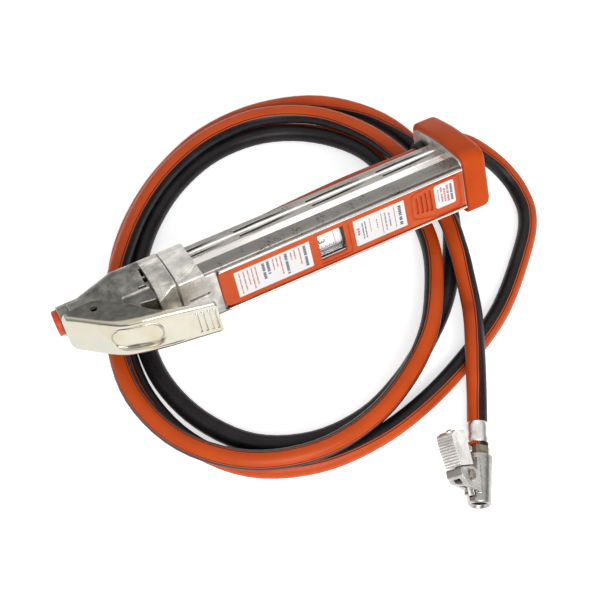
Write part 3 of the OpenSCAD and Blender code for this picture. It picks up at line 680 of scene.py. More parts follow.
@dataclass(frozen=True)
class StripedRubber(Finish):
    """The hose's black rubber with its wide stripe, and a thin line along each side of it."""

    black: Colour = (0.008, 0.0065, 0.008)
    rubbed_black: Colour = (0.022, 0.019, 0.020)
    worn_black: Colour = (0.030, 0.024, 0.024)
    orange: Colour = (0.60, 0.076, 0.008)
    shaded_orange: Colour = (0.50, 0.058, 0.006)
    gloss: float = 0.2
    # Turns round the hose from the stripe's middle to where each band ends, and over which it blurs
    stripe_end: float = 0.113
    gap_end: float = 0.128
    line_end: float = 0.146
    blur: float = 0.003
    # How many times finer the ribs' noise is than a turn of the hose and than a metre of it
    ribs: Flat = (160.0, 60.0)

    def lay_out(self, sheet: NodeSheet, shader: bpy.types.Node, here: Socket) -> None:
        """Lays out bands from the piece's own UV map, whose first value runs once round the hose.

        Args:
            sheet: The node tree.
            shader: Its shader.
            here: The shaded point.
        """
        own = sheet.add("ShaderNodeUVMap", uv_map="round_and_along").outputs[0]
        about, along = sheet.part(own, 0), sheet.part(own, 1)
        turn = sheet.sum("MINIMUM", about, sheet.sum("SUBTRACT", 1.0, about))
        stripe = sheet.spread(turn, self.stripe_end, self.stripe_end + self.blur, 1.0, 0.0)
        line = sheet.band(turn, (self.gap_end, self.gap_end + self.blur),
                          (self.line_end, self.line_end + self.blur))
        coloured = sheet.sum("MAXIMUM", stripe, line)
        rubbed = sheet.spread(sheet.noise(here, 0.035, 4.0), 0.42, 0.7)
        fine = sheet.spread(sheet.noise(here, 0.7, 6.0, 0.7), 0.45, 0.75)
        black = sheet.tint(rubbed, self.black, self.rubbed_black)
        black = sheet.tint(sheet.sum("MULTIPLY", fine, 0.8), black, self.worn_black)
        orange = sheet.tint(sheet.sum("MULTIPLY", rubbed, 0.8), self.orange, self.shaded_orange)
        sheet.put(shader.inputs["Base Color"], sheet.tint(coloured, black, orange))
        sheet.put(shader.inputs["Roughness"], sheet.spread(fine, 0.0, 1.0, 0.34, 0.5))
        shader.inputs["Specular IOR Level"].default_value = self.gloss
        stretched = {0: sheet.sum("MULTIPLY", about, self.ribs[0]),
                     1: sheet.sum("MULTIPLY", along, self.ribs[1])}
        ribs = sheet.noise(sheet.add("ShaderNodeCombineXYZ", stretched).outputs[0], 1.0, 3.0)
        sheet.put(shader.inputs["Normal"], sheet.bump(sheet.sum("ADD", ribs, fine), 0.00004, 0.6))


@dataclass(frozen=True)
class Printed(Finish):
    """White sticker film or ink, slightly uneven."""

    base: Colour = (0.86, 0.85, 0.84)
    rough: float = 0.35

    def lay_out(self, sheet: NodeSheet, shader: bpy.types.Node, here: Socket) -> None:
        """Lays out a faint unevenness of tone and gloss.

        Args:
            sheet: The node tree.
            shader: Its shader.
            here: The shaded point.
        """
        worn = sheet.spread(sheet.noise(here, 0.4, 5.0), 0.3, 0.8, 0.0, 0.12)
        grey = tuple(0.5 * c + 0.2 for c in self.base)
        sheet.put(shader.inputs["Base Color"], sheet.tint(worn, self.base, grey))
        sheet.put(shader.inputs["Roughness"], sheet.spread(worn, 0.0, 0.12, self.rough, self.rough + 0.15))


@dataclass(frozen=True)
class ClearPlastic(Finish):
    """The gauge window's lens."""

    def lay_out(self, sheet: NodeSheet, shader: bpy.types.Node, here: Socket) -> None:
        """Lays out clear plastic with faint rub marks in the gloss.

        Args:
            sheet: The node tree.
            shader: Its shader.
            here: The shaded point.
        """
        shader.inputs["Base Color"].default_value = (0.97, 0.98, 0.98, 1.0)
        shader.inputs["Transmission Weight"].default_value = 1.0
        shader.inputs["IOR"].default_value = 1.2
        rubs = sheet.noise(here, 0.8, 5.0, 0.7)
        sheet.put(shader.inputs["Roughness"], sheet.spread(rubs, 0.4, 0.8, 0.02, 0.10))
        shadow = sheet.add("ShaderNodeLightPath").outputs["Is Shadow Ray"]
        clear = sheet.add("ShaderNodeBsdfTransparent")
        through = sheet.add("ShaderNodeMixShader", {0: shadow, 1: shader.outputs[0], 2: clear.outputs[0]})
        sheet.put(sheet.tree.nodes["Material Output"].inputs[0], through.outputs[0])


# The head is painted darker, as shade, before its chest, and lighter, as a painted highlight, on the chest
HEAD_CAST = CastMetal("HeadCasting", tone=(-94.8, 0.66, 1.7))
ADAPTER_CAST = CastMetal("AdapterCasting", light=(0.90, 0.87, 0.81), dark=(0.56, 0.54, 0.50), staining=0.4)
CLIP_CAST = CastMetal("ClipCasting", CLIP, light=(0.50, 0.485, 0.46), dark=(0.36, 0.35, 0.33), staining=0.2,
                      rough=(0.24, 0.34))
THUMB_CAST = CastMetal("ThumbCasting", CLIP, light=(0.88, 0.87, 0.82), dark=(0.62, 0.61, 0.57), staining=0.25)
FLANGE_METAL = CastMetal("FlangeMetal", light=(0.62, 0.61, 0.58), dark=(0.36, 0.35, 0.33), staining=0.3)
BARREL_METAL = ExtrudedMetal("BarrelMetal")
LEVER_PLATE = PlatedSteel("LeverPlate")
STEEL = TurnedMetal("BrightSteel")
CLIP_STEEL = TurnedMetal("ClipSteel", CLIP)
PIN_STEEL = TurnedMetal("PinSteel", base=(0.16, 0.155, 0.15), tarnish=(0.05, 0.048, 0.045), rough=(0.3, 0.5))
RIVET_STEEL = TurnedMetal("RivetSteel", CLIP, base=(0.30, 0.26, 0.215), tarnish=(0.20, 0.17, 0.14),
                          rough=(0.3, 0.45))
FERRULE_METAL = TurnedMetal("FerruleMetal", CLIP, base=(0.80, 0.79, 0.77), tarnish=(0.60, 0.58, 0.55),
                            rough=(0.26, 0.4))
BRASS = TurnedMetal("TurnedBrass", base=(0.66, 0.52, 0.27), tarnish=(0.38, 0.28, 0.14), rough=(0.22, 0.38))
HEX_METAL = TurnedMetal("HexPlate", CLIP, base=(0.30, 0.265, 0.19), tarnish=(0.12, 0.105, 0.075),
                        rough=(0.2, 0.4))
PANEL_PLASTIC = Moulded("PanelPlastic", base=(0.66, 0.105, 0.026), shade=(0.58, 0.085, 0.020), dusting=0.04,
                        gloss=0.25)
PLUG_PLASTIC = Moulded("PlugPlastic", base=(0.68, 0.075, 0.010), shade=(0.60, 0.060, 0.008), dusting=0.03,
                       gloss=0.35)
BUFFER_RUBBER = Moulded("BufferRubber", base=(0.62, 0.080, 0.008), shade=(0.56, 0.066, 0.006), dusting=0.03,
                        rough=(0.34, 0.46), gloss=0.10)
BLACK_RUBBER = Moulded("BlackRubber", base=(0.012, 0.011, 0.012), shade=(0.008, 0.008, 0.008),
                       dust=(0.06, 0.055, 0.05), dusting=0.2, rough=(0.4, 0.6), gloss=0.3)
GASKET_RUBBER = Moulded("GasketRubber", base=(0.24, 0.23, 0.21), shade=(0.16, 0.15, 0.14), dusting=0.3)
HOSE_RUBBER = StripedRubber("HoseRubber")
STICKER_FILM = Printed("StickerFilm")
BLUE_INK = Printed("BlueInk", base=(0.028, 0.024, 0.105))
RED_INK = Printed("RedInk", base=(0.50, 0.055, 0.045))
GREY_INK = Printed("GreyInk", base=(0.16, 0.15, 0.20))
BLACK_INK = Printed("BlackInk", base=(0.02, 0.02, 0.02))
SLEEVE_WHITE = Printed("SleeveWhite", base=(0.70, 0.69, 0.68), rough=0.3)
LENS_CLEAR = ClearPlastic("LensClear")


# ---- the bench ----


def stretch_of(values: Sequence[Flat], place: float) -> float:
    """A value read off a broken line of (place, value) pairs, held beyond its ends.

    Args:
        values: The pairs, in order.
        place: Where to read.

    Returns:
        The value there.
    """
    if place <= values[0][0]:
        return values[0][1]
    for (a, start), (b, end) in zip(values, values[1:]):
        if place <= b:
            return start + (end - start) * (place - a) / (b - a)
    return values[-1][1]


def ease(value: float, low: float, high: float) -> float:
    """0 below low, 1 above high, and a smooth step between them."""
    share = min(max((value - low) / (high - low), 0.0), 1.0)
    return share * share * (3.0 - 2.0 * share)


class Bench:
    """Hand-modelling steps on one piece at a time, in a sub-assembly's own frame in millimetres."""

    def __init__(self, placing: Placing) -> None:
        """Sets up the bench for one sub-assembly."""
        self.placing = placing

    def take(self, piece: Piece) -> None:
        """Makes a piece the only selected one, and active.

        Args:
            piece: The piece.
        """
        if bpy.context.object and bpy.context.object.mode != "OBJECT":
            bpy.ops.object.mode_set(mode="OBJECT")
        bpy.ops.object.select_all(action="DESELECT")
        piece.select_set(True)
        bpy.context.view_layer.objects.active = piece

    def new(self, name: str) -> Piece:
        """Names the piece that an operator has just added, and applies its place.

        Args:
            name: Its name.

        Returns:
            The piece.
        """
        piece = bpy.context.object
        piece.name = name
        self.take(piece)
        bpy.ops.object.transform_apply(location=True, rotation=True, scale=True)
        return piece

    def block(self, name: str, low: Point, high: Point) -> Piece:
        """A block between two corners.

        Args:
            name: Its name.
            low: One corner.
            high: The opposite one.

        Returns:
            The block.
        """
        centre = [(a + b) / 2 for a, b in zip(low, high)]
        bpy.ops.mesh.primitive_cube_add(size=1, location=centre, scale=[b - a for a, b in zip(low, high)])
        return self.new(name)

    def prism(self, name: str, outline: Sequence[Flat], start: float, end: float) -> Piece:
        """A prism along x, extruded from an outline.

        Args:
            name: Its name.
            outline: The corners in order, as (y, z).
            start: Where it starts along x.
            end: Where it ends.

        Returns:
            The prism.
        """
        bpy.ops.mesh.primitive_circle_add(vertices=len(outline), fill_type="NGON")
        piece = self.new(name)
        for vertex, (y, z) in zip(piece.data.vertices, outline):
            vertex.co = (start, y, z)
        self.take(piece)
        bpy.ops.object.mode_set(mode="EDIT")
        bpy.ops.mesh.select_all(action="SELECT")
        bpy.ops.mesh.extrude_region_move(TRANSFORM_OT_translate={"value": (end - start, 0.0, 0.0)})
        bpy.ops.mesh.select_all(action="SELECT")
        bpy.ops.mesh.normals_make_consistent(inside=False)
        bpy.ops.object.mode_set(mode="OBJECT")
        return piece

    def bar(self, name: str, radius: float, start: Point, end: Point, sides: int = 48) -> Piece:
        """A round bar from one point to another.

        Args:
            name: Its name.
            radius: Its radius.
            start: The middle of one end.
            end: The middle of the other.
            sides: How many sides it has.

        Returns:
            The bar.
        """
        way = Vector(end) - Vector(start)
        bpy.ops.mesh.primitive_cylinder_add(vertices=sides, radius=radius, depth=way.length,
                                            location=(Vector(start) + Vector(end)) / 2,
                                            rotation=way.to_track_quat("Z", "Y").to_euler())
        return self.new(name)

    def turned(self, name: str, profile: Sequence[Flat], centre: Flat,
               steps: int = 64) -> Piece:
        """A piece turned about an axis along x, by spinning its profile.

        Args:
            name: Its name.
            profile: (place along x, radius) pairs, closed on itself or ending on the axis.
            centre: Where the axis lies, as (y, z).
            steps: How many steps the spin takes.

        Returns:
            The closed piece.
        """
        mesh = bpy.data.meshes.new(name)
        points = [(x, centre[0] + r, centre[1]) for x, r in profile]
        mesh.from_pydata(points, [(i, i + 1) for i in range(len(points) - 1)], [])
        piece = bpy.data.objects.new(name, mesh)
        bpy.context.scene.collection.objects.link(piece)
        self.take(piece)
        bpy.ops.object.mode_set(mode="EDIT")
        bpy.ops.mesh.select_all(action="SELECT")
        bpy.ops.mesh.spin(steps=steps, angle=2 * math.pi, center=(0, *centre), axis=(1, 0, 0))
        bpy.ops.mesh.select_all(action="SELECT")
        bpy.ops.mesh.remove_doubles(threshold=0.0005)
        bpy.ops.mesh.normals_make_consistent(inside=False)
        bpy.ops.object.mode_set(mode="OBJECT")
        return piece

    def copy_of(self, node: str, name: str) -> Piece:
        """A merged copy of a CAD node, brought to the bench.

        Args:
            node: The node.
            name: Its name.

        Returns:
            The copy, in the sub-assembly's frame.
        """
        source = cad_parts[node]
        piece = bpy.data.objects.new(name, source.data.copy())
        bpy.context.scene.collection.objects.link(piece)
        piece.data.transform(self.placing.matrix().inverted())
        self.take(piece)
        bpy.ops.object.mode_set(mode="EDIT")
        bpy.ops.mesh.select_all(action="SELECT")
        bpy.ops.mesh.remove_doubles(threshold=0.002)
        bpy.ops.object.mode_set(mode="OBJECT")
        return piece

    def pick(self, piece: Piece, edges: Callable[[Vector, Vector], bool] | None = None,
             faces: Callable[[Vector, Vector], bool] | None = None) -> None:
        """Enters edit mode with some edges or faces selected.

        Args:
            piece: The piece.
            edges: Given an edge's middle and its direction, says whether it is picked.
            faces: Given a face's middle and its normal, says whether it is picked.
        """
        self.take(piece)
        bpy.ops.object.mode_set(mode="EDIT")
        bpy.ops.mesh.select_mode(type="EDGE" if edges else "FACE")
        bpy.ops.mesh.select_all(action="DESELECT")
        shape = bmesh.from_edit_mesh(piece.data)
        for edge in shape.edges if edges else ():
            a, b = edge.verts[0].co, edge.verts[1].co
            edge.select_set(edges((a + b) / 2, (b - a).normalized()))
        for face in shape.faces if faces else ():
            face.select_set(faces(face.calc_center_median(), face.normal))
        bmesh.update_edit_mesh(piece.data)

    def bevel(self, piece: Piece, width: float, segments: int,
              edges: Callable[[Vector, Vector], bool]) -> None:
        """Rounds the picked edges.

        Args:
            piece: The piece.
            width: How far the rounding reaches from the edge.
            segments: How many facets it has.
            edges: Picks them, as in pick.
        """
        self.pick(piece, edges=edges)
        bpy.ops.mesh.bevel(offset=width, segments=segments, affect="EDGES")
        bpy.ops.object.mode_set(mode="OBJECT")

    def apply(self, piece: Piece) -> None:
        """Applies all of a piece's modifiers.

        Args:
            piece: The piece.
        """
        self.take(piece)
        for modifier in list(piece.modifiers):
            bpy.ops.object.modifier_apply(modifier=modifier.name)

    def cut(self, piece: Piece, *cutters: Piece) -> None:
        """Cuts other pieces out of one."""
        self.combine(piece, "DIFFERENCE", cutters)

    def combine(self, piece: Piece, operation: str, others: Sequence[Piece]) -> None:
        """Cuts other pieces out of one or adds them to it, and clears them away.

        Args:
            piece: The piece.
            operation: What the Boolean modifier does.
            others: The other pieces.
        """
        for other in others:
            step = piece.modifiers.new("Combine", "BOOLEAN")
            step.operation, step.solver, step.object = operation, "EXACT", other
        self.apply(piece)
        for other in others:
            bpy.data.objects.remove(other)

    def soften(self, piece: Piece, width: float, segments: int = 2, corner: float = 35.0) -> None:
        """Rounds every edge that is sharper than a given corner.

        Args:
            piece: The piece.
            width: How far the rounding reaches from the edge.
            segments: How many facets it has.
            corner: The angle past which an edge is rounded, in degrees.
        """
        step = piece.modifiers.new("Soft", "BEVEL")
        step.width, step.segments, step.limit_method = width, segments, "ANGLE"
        step.angle_limit = math.radians(corner)
        self.apply(piece)

    def cast(self, piece: Piece, grain: float, rounds: int) -> None:
        """Melts a piece's edges and inner corners together, as in a die casting.

        Args:
            piece: The piece.
            grain: The size of the facets that it is made of.
            rounds: How often it is smoothed.
        """
        melt = piece.modifiers.new("Melt", "REMESH")
        melt.mode, melt.voxel_size, melt.use_smooth_shade = "VOXEL", grain, True
        ease_off = piece.modifiers.new("EaseOff", "SMOOTH")
        ease_off.factor, ease_off.iterations = 0.5, rounds
        self.apply(piece)

    def wire(self, name: str, points: Sequence[Point], radius: float, closed: bool = False,
             sides: int = 3) -> Piece:
        """A round wire through the given points, made a mesh.

        Args:
            name: Its name.
            points: The points.
            radius: The wire's radius.
            closed: Whether its ends meet.
            sides: How round it is, as for a curve's bevel.

        Returns:
            The wire.
        """
        line = bpy.data.curves.new(name, "CURVE")
        line.dimensions, line.bevel_depth, line.bevel_resolution = "3D", radius, sides
        line.use_fill_caps = True
        spline = line.splines.new("POLY")
        spline.points.add(len(points) - 1)
        for knot, point in zip(spline.points, points):
            knot.co = (*point, 1.0)
        spline.use_cyclic_u = closed
        piece = bpy.data.objects.new(name, line)
        bpy.context.scene.collection.objects.link(piece)
        self.take(piece)
        bpy.ops.object.convert(target="MESH")
        return bpy.context.object

    def coil(self, name: str, start: Point, end: Point, radius: float, wire: float, turns: float) -> Piece:
        """A coil spring with closed ends, from one point to another.

        Args:
            name: Its name.
            start: The middle of one end.
            end: The middle of the other.
            radius: The coil's radius.
            wire: The wire's diameter.
            turns: How many turns are open, between one closed turn at each end.

        Returns:
            The spring.
        """
        way = Vector(end) - Vector(start)
        turn = way.to_track_quat("Z", "Y").to_matrix()
        closed, fineness = 1.0, 20
        points = []
        for i in range(int((turns + 2 * closed) * fineness) + 1):
            t = i / fineness
            open_part = min(max(t - closed, 0.0), turns)
            rise = wire * (0.5 + min(t, closed) + max(t - closed - turns, 0.0))
            rise += open_part * (way.length - wire * 3.0) / turns
            angle = 2 * math.pi * t
            place = Vector((radius * math.cos(angle), radius * math.sin(angle), rise))
            points.append(tuple(Vector(start) + turn @ place))
        return self.wire(name, points, wire / 2)

    def join(self, name: str, pieces: Sequence[Piece]) -> Piece:
        """Joins several pieces into one.

        Args:
            name: The joint piece's name.
            pieces: The pieces.

        Returns:
            The joint piece.
        """
        self.take(pieces[0])
        for piece in pieces:
            piece.select_set(True)
        bpy.ops.object.join()
        bpy.context.object.name = name
        return bpy.context.object

    def done(self, piece: Piece, finish: Finish, body: Body, slot: Slot, *nodes: str,
             smooth: float = 38.0) -> Piece:
        """Puts a finished piece in its place, dresses it and hands it over.

        Args:
            piece: The piece, still in the sub-assembly's frame.
            finish: Its finish.
            body: The body that it rides on.
            slot: The record's slot that its finish comes from; not used.
            nodes: The CAD nodes that it replaces.
            smooth: Corners below this angle are shaded smooth.

        Returns:
            The piece.
        """
        piece.data.transform(self.placing.matrix() @ piece.matrix_world)
        piece.matrix_world = Matrix.Identity(4)
        self.take(piece)
        bpy.ops.object.shade_smooth_by_angle(angle=math.radians(smooth))
        piece.data.materials.clear()
        piece.data.materials.append(finish.material())
        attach(piece, body.value)
        if nodes:
            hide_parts(*nodes)
        log.info("%s rides on %s", piece.name, body.value)
        return piece

    def softened(self, node: str, name: str, width: float, segments: int, finish: Finish, body: Body,
                 slot: Slot) -> Piece:
        """A dressed copy of a CAD node, with its edges rounded.

        Args:
            node: The node.
            name: Its name.
            width: How far the rounding reaches from an edge.
            segments: How many facets it has.
            finish: The piece's finish.
            body: The body that it rides on.
            slot: The record's slot that its finish comes from.

        Returns:
            The piece.
        """
        piece = self.copy_of(node, name)
        self.soften(piece, width, segments)
        return self.done(piece, finish, body, slot, node)

    def reuse(self, finish: Finish, *nodes: str) -> None:
        """Gives a finish to CAD nodes whose shape stays.

        Args:
            finish: The finish.
            nodes: The nodes.
        """
        for node in nodes:
            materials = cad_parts[node].data.materials
            materials.clear()
            materials.append(finish.material())
            log.info("%s keeps its shape", node)


class SubAssembly:
    """A group of pieces that are built on one bench."""

    placing: Placing = TOOL

    @property
    def bench(self) -> Bench:
        """The bench for this sub-assembly's frame."""
        return Bench(self.placing)

    def build(self) -> None:
        """Builds and dresses the pieces."""
        raise NotImplementedError


# ---- camera, floor and light ----


@dataclass
class Studio:
    """The camera, the pale floor and the plain soft light."""

    eye: Point = (-0.17495, -0.30934, 0.74518)
    ahead: Point = (0.21708, 0.43349, -0.87462)
    lens: float = 75.6
    floor_white: Colour = (0.93, 0.93, 0.93)
    floor_glow: float = 0.62
    sky: float = 0.45
    # The softboxes, as (name, place, side, power), and what they face
    lamps: tuple[tuple[str, Point, float, float], ...] = (
        ("BackSoftbox", (0.5, 1.25, 1.0), 0.9, 2.0), ("FrontSoftbox", (-0.25, -1.15, 1.0), 0.9, 17.0))
    aim: Point = (0.0, 0.05, 0.0)
    # What metal and glass show of the surround, from the horizon to overhead, as (height, brightness)
    front_shades: tuple[Flat, ...] = ((0.0, 0.30), (0.12, 0.16), (0.55, 0.30), (0.70, 1.0))
    back_shades: tuple[Flat, ...] = ((0.0, 0.50), (0.30, 0.55), (0.50, 0.80), (0.70, 1.0))

    def seen(self, sheet: NodeSheet) -> Socket:
        """1 on the rays by which the camera, metal and glass see the surround, and 0 on those that light.

        Args:
            sheet: The node tree that asks.

        Returns:
            The mask.
        """
        path = sheet.add("ShaderNodeLightPath")
        mirrored = sheet.sum("MAXIMUM", path.outputs["Is Glossy Ray"], path.outputs["Is Transmission Ray"])
        return sheet.sum("MAXIMUM", path.outputs["Is Camera Ray"], mirrored)

    def camera(self) -> None:
        """Sets the camera at the viewing angle."""
        data = bpy.data.cameras.new("Camera")
        data.lens, data.sensor_width = self.lens, 36.0
        data.clip_start, data.clip_end = 0.01, 20.0
        camera = bpy.data.objects.new("Camera", data)
        bpy.context.scene.collection.objects.link(camera)
        camera.location = self.eye
        camera.rotation_mode = "QUATERNION"
        camera.rotation_quaternion = Vector(self.ahead).to_track_quat("-Z", "Y")
        bpy.context.scene.camera = camera

    def floor(self) -> None:
        """Lays the floor, which keeps the object's shadow."""
        bpy.ops.mesh.primitive_plane_add(size=5.0, location=(0.02, 0.05, -0.0001))
        floor = bpy.context.object
        floor.name = "Floor"
        made = bpy.data.materials.new("FloorWhite")
        made.use_nodes = True
        shader = made.node_tree.nodes["Principled BSDF"]
        shader.inputs["Base Color"].default_value = (*self.floor_white, 1.0)
        shader.inputs["Roughness"].default_value = 0.9
        shader.inputs["Specular IOR Level"].default_value = 0.0
        sheet = NodeSheet(made.node_tree)
        shader.inputs["Emission Color"].default_value = (1.0, 1.0, 1.0, 1.0)
        glow = sheet.sum("MULTIPLY", self.seen(sheet), self.floor_glow)
        sheet.put(shader.inputs["Emission Strength"], glow)
        floor.data.materials.append(made)

    def world(self) -> None:
        """A surround that metal and glass show, white to the camera, over plain light."""
        world = bpy.data.worlds.new("Surround")
        bpy.context.scene.world = world
        world.use_nodes = True
        world.node_tree.nodes.clear()
        sheet = NodeSheet(world.node_tree)
        way = sheet.add("ShaderNodeTexCoord").outputs["Generated"]
        sides = [sheet.ramp(sheet.part(way, 2), [(place, (shade, shade, shade)) for place, shade in shades])
                 for shades in (self.front_shades, self.back_shades)]
        around = sheet.tint(sheet.spread(sheet.part(way, 1), -0.3, 0.3), *sides)
        camera = sheet.add("ShaderNodeLightPath").outputs["Is Camera Ray"]
        shown = sheet.add("ShaderNodeBackground", {0: sheet.tint(camera, around, (1.0, 1.0, 1.0)), 1: 1.0})
        light = sheet.add("ShaderNodeBackground", {0: (1.0, 1.0, 1.0, 1.0), 1: self.sky})
        shaders = {0: self.seen(sheet), 1: light.outputs[0], 2: shown.outputs[0]}
        mix = sheet.add("ShaderNodeMixShader", shaders)
        sheet.add("ShaderNodeOutputWorld", {0: mix.outputs[0]})

    def lamp(self, name: str, place: Point, size: float, power: float) -> None:
        """Hangs a soft square lamp that faces the object.

        Args:
            name: Its name.
            place: Where it hangs, in metres.
            size: Its side, in metres.
            power: Its power, in watts.
        """
        data = bpy.data.lights.new(name, "AREA")
        data.shape, data.size, data.energy = "SQUARE", size, power
        lamp = bpy.data.objects.new(name, data)
        bpy.context.scene.collection.objects.link(lamp)
        lamp.location = place
        lamp.rotation_euler = (Vector(self.aim) - Vector(place)).to_track_quat("-Z", "Y").to_euler()

    def build(self) -> None:
        """Sets up everything that isn't part of the object."""
        self.camera()
        self.floor()
        self.world()
        for lamp in self.lamps:
            self.lamp(*lamp)
        bpy.context.scene.view_settings.view_transform = "Standard"


# ---- hose ----


@dataclass
class Hose(SubAssembly):
    """The striped hose, from the head along the tool's back and through its loops to the connector."""

    radius: float = 6.5
    sides: int = 28
    finer: int = 5
    lay: float = 6.5
    centre: Flat = (8.0, 76.0)
    step: float = 18.0
    length: float = 2.755
    # Its points: along the barrel's back, then down and round to the connector
    back_run: tuple[Point, ...] = ((-64.0, 25.4, 0.0), (-30.0, 25.4, 0.0), (10.0, 28.0, 1.0),
                                   (60.0, 31.0, 1.0), (100.0, 31.5, 0.0), (136.5, 31.5, 0.0))
    way_down: tuple[Point, ...] = ((159.0, 102.0, 35.0), (172.0, 91.0, 25.0), (181.0, 79.0, 15.0),
                                   (184.0, 64.0, 9.0), (180.0, 46.0, 6.5))
    first_loop: tuple[float, ...] = (164, 145, 132, 128, 130, 135, 138, 134, 126.5, 118.5, 115.5, 115.2,
                                     117.3, 123.3, 133, 142, 149, 148, 139)
    second_loop: tuple[float, ...] = (126, 114, 107, 104, 107, 114, 120, 122, 117.5, 111.5, 105, 102.2, 102,
                                      104.2, 109.5, 116.3, 121, 121.8, 119)
    # The last loop crosses the others, so that each of its points has a height too
    third_loop: tuple[Flat, ...] = (
        (109, 7), (102, 11), (99, 17), (99, 19), (104, 20.4), (111, 19.8), (121, 18.8), (132, 20.1),
        (139, 20.4), (140, 20), (134, 19.6), (123, 20.1), (115, 20.1), (110, 20), (111, 18.8), (115.5, 18.6),
        (122, 18.6), (128.6, 17.6), (129.8, 17.6), (125.3, 18.8), (119.2, 20.1))
    last_run: tuple[Point, ...] = ((120.6, 90.0, 20.1), (123.4, 64.0, 20.4), (118.0, 38.0, 20.4),
                                   (112.0, 17.0, 17.0), (106.0, -1.0, 15.0), (99.0, -15.0, 19.4),
                                   (91.0, -30.0, 20.6), (83.0, -46.0, 17.0), (76.0, -60.4, 10.6),
                                   (69.8, -71.7, 9.0), (59.9, -89.5, 9.0))
    # How far the stripe's middle is turned from the hose's top towards the loops' outside, at each point
    stripe_turns: tuple[float, ...] = (
        0, 0, 0, 0, 0, 10, 22, 28, 36, 46, 55,
        65, 70, 75, 70, 70, 65, 60, 50, 45, 40, 40, 35, 30, 20, 5, -5, -5, 20, 75,
        135, 165, 180, 190, 185, 190, 185, 180, 165, 150, 130, 120, 116, 110, 100, 88, 78, 70, 62,
        50, 15, 20, 20, 20, 15, 20, 20, 20, 15, 10, 18, 25, 25, 20, 15, 14, 10, 6, 0, -8,
        -25, -30, -35, -40, -40, -40, -40, -45, -50, -50, -50)

    def spokes(self, loop: Sequence[Flat], first: int) -> list[Vector]:
        """The points of a loop, from (radius, height) pairs at every step round the centre.

        Args:
            loop: The pairs.
            first: The number of the first step.

        Returns:
            The points, in millimetres.
        """
        points = []
        for i, (radius, height) in enumerate(loop):
            angle = math.radians(-self.step * (first + i))
            points.append(Vector((self.centre[0] + radius * math.cos(angle),
                                  self.centre[1] + radius * math.sin(angle), height)))
        return points

    def route(self) -> list[Vector]:
        """The hose's points in metres, close to those in the CAD source.

        Returns:
            The points, from the head to the connector.
        """
        tool = TOOL.matrix()
        flat = [Vector(p) for p in self.way_down] + self.spokes([(r, self.lay) for r in self.first_loop], 1)
        flat += self.spokes([(r, self.lay) for r in self.second_loop], 0) + self.spokes(self.third_loop, -1)
        flat += [Vector(p) for p in self.last_run]
        return [tool @ Vector(p) for p in self.back_run] + [p * MM for p in flat]

    def smooth(self, points: list[Vector], turns: Sequence[float]) -> tuple[list[Vector], list[float]]:
        """A smooth curve through the points, with the stripe's turn at each of its own points.

        Args:
            points: The points.
            turns: The stripe's turn at each, in degrees.

        Returns:
            The curve's points, and the turn at each.
        """
        ends = [points[0] * 2 - points[1], *points, points[-1] * 2 - points[-2]]
        curve, angles = [], []
        for i in range(len(points) - 1):
            a, b, c, d = ends[i:i + 4]
            for k in range(self.finer):
                t = k / self.finer
                curve.append(0.5 * (2 * b + (c - a) * t + (2 * a - 5 * b + 4 * c - d) * t ** 2
                                    + (3 * b - a - 3 * c + d) * t ** 3))
                angles.append(turns[i] + (turns[i + 1] - turns[i]) * ease(t, 0.0, 1.0))
        return [*curve, points[-1]], [*angles, turns[-1]]

    def tube(self, curve: list[Vector], angles: list[float]) -> Piece:
        """A closed tube round the curve, with a UV map that runs round it and along it.

        Args:
            curve: The points of its middle.
            angles: The stripe's turn at each, in degrees.

        Returns:
            The tube.
        """
        shape = bmesh.new()
        layer = shape.loops.layers.uv.new("round_and_along")
        rings, places, run = [], [], 0.0
        for i, (point, angle) in enumerate(zip(curve, angles)):
            ahead = (curve[min(i + 1, len(curve) - 1)] - curve[max(i - 1, 0)]).normalized()
            side = ahead.cross(Vector((0, 0, 1))).normalized()
            up = side.cross(ahead)
            run += (point - curve[i - 1]).length if i else 0.0
            places.append(run)
            ring = []
            for k in range(self.sides):
                theta = math.radians(angle) + 2 * math.pi * k / self.sides
                out = math.cos(theta) * up - math.sin(theta) * side
                ring.append(shape.verts.new(point + self.radius * MM * out))
            rings.append(ring)
        for i in range(len(rings) - 1):
            for k in range(self.sides):
                n = (k + 1) % self.sides
                face = shape.faces.new((rings[i][k], rings[i + 1][k], rings[i + 1][n], rings[i][n]))
                corners = ((k, i), (k, i + 1), (k + 1, i + 1), (k + 1, i))
                for loop, (u, v) in zip(face.loops, corners):
                    loop[layer].uv = (u / self.sides, places[v])
        shape.faces.new(rings[0])
        shape.faces.new(list(reversed(rings[-1])))
        bmesh.ops.recalc_face_normals(shape, faces=shape.faces)
        mesh = bpy.data.meshes.new("Hose")
        shape.to_mesh(mesh)
        shape.free()
        hose = bpy.data.objects.new("Hose", mesh)
        bpy.context.scene.collection.objects.link(hose)
        return hose

    def build(self) -> None:
        """Builds the hose."""
        route = self.route()
        self.curve, angles = self.smooth(route, self.stripe_turns)
        self.hose = self.tube(self.curve, angles)
        self.hose.data.materials.append(HOSE_RUBBER.material())
        for face in self.hose.data.polygons:
            face.use_smooth = True
        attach(self.hose, Body.TOOL.value)
        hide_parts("hose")
        log.info("hose follows %d points", len(self.curve))

    def declare(self, end_pieces: Sequence[object]) -> None:
        """Takes the pieces on the hose's far end, and does nothing with them.

        Args:
            end_pieces: Those pieces; not used.
        """


# ---- tool ----


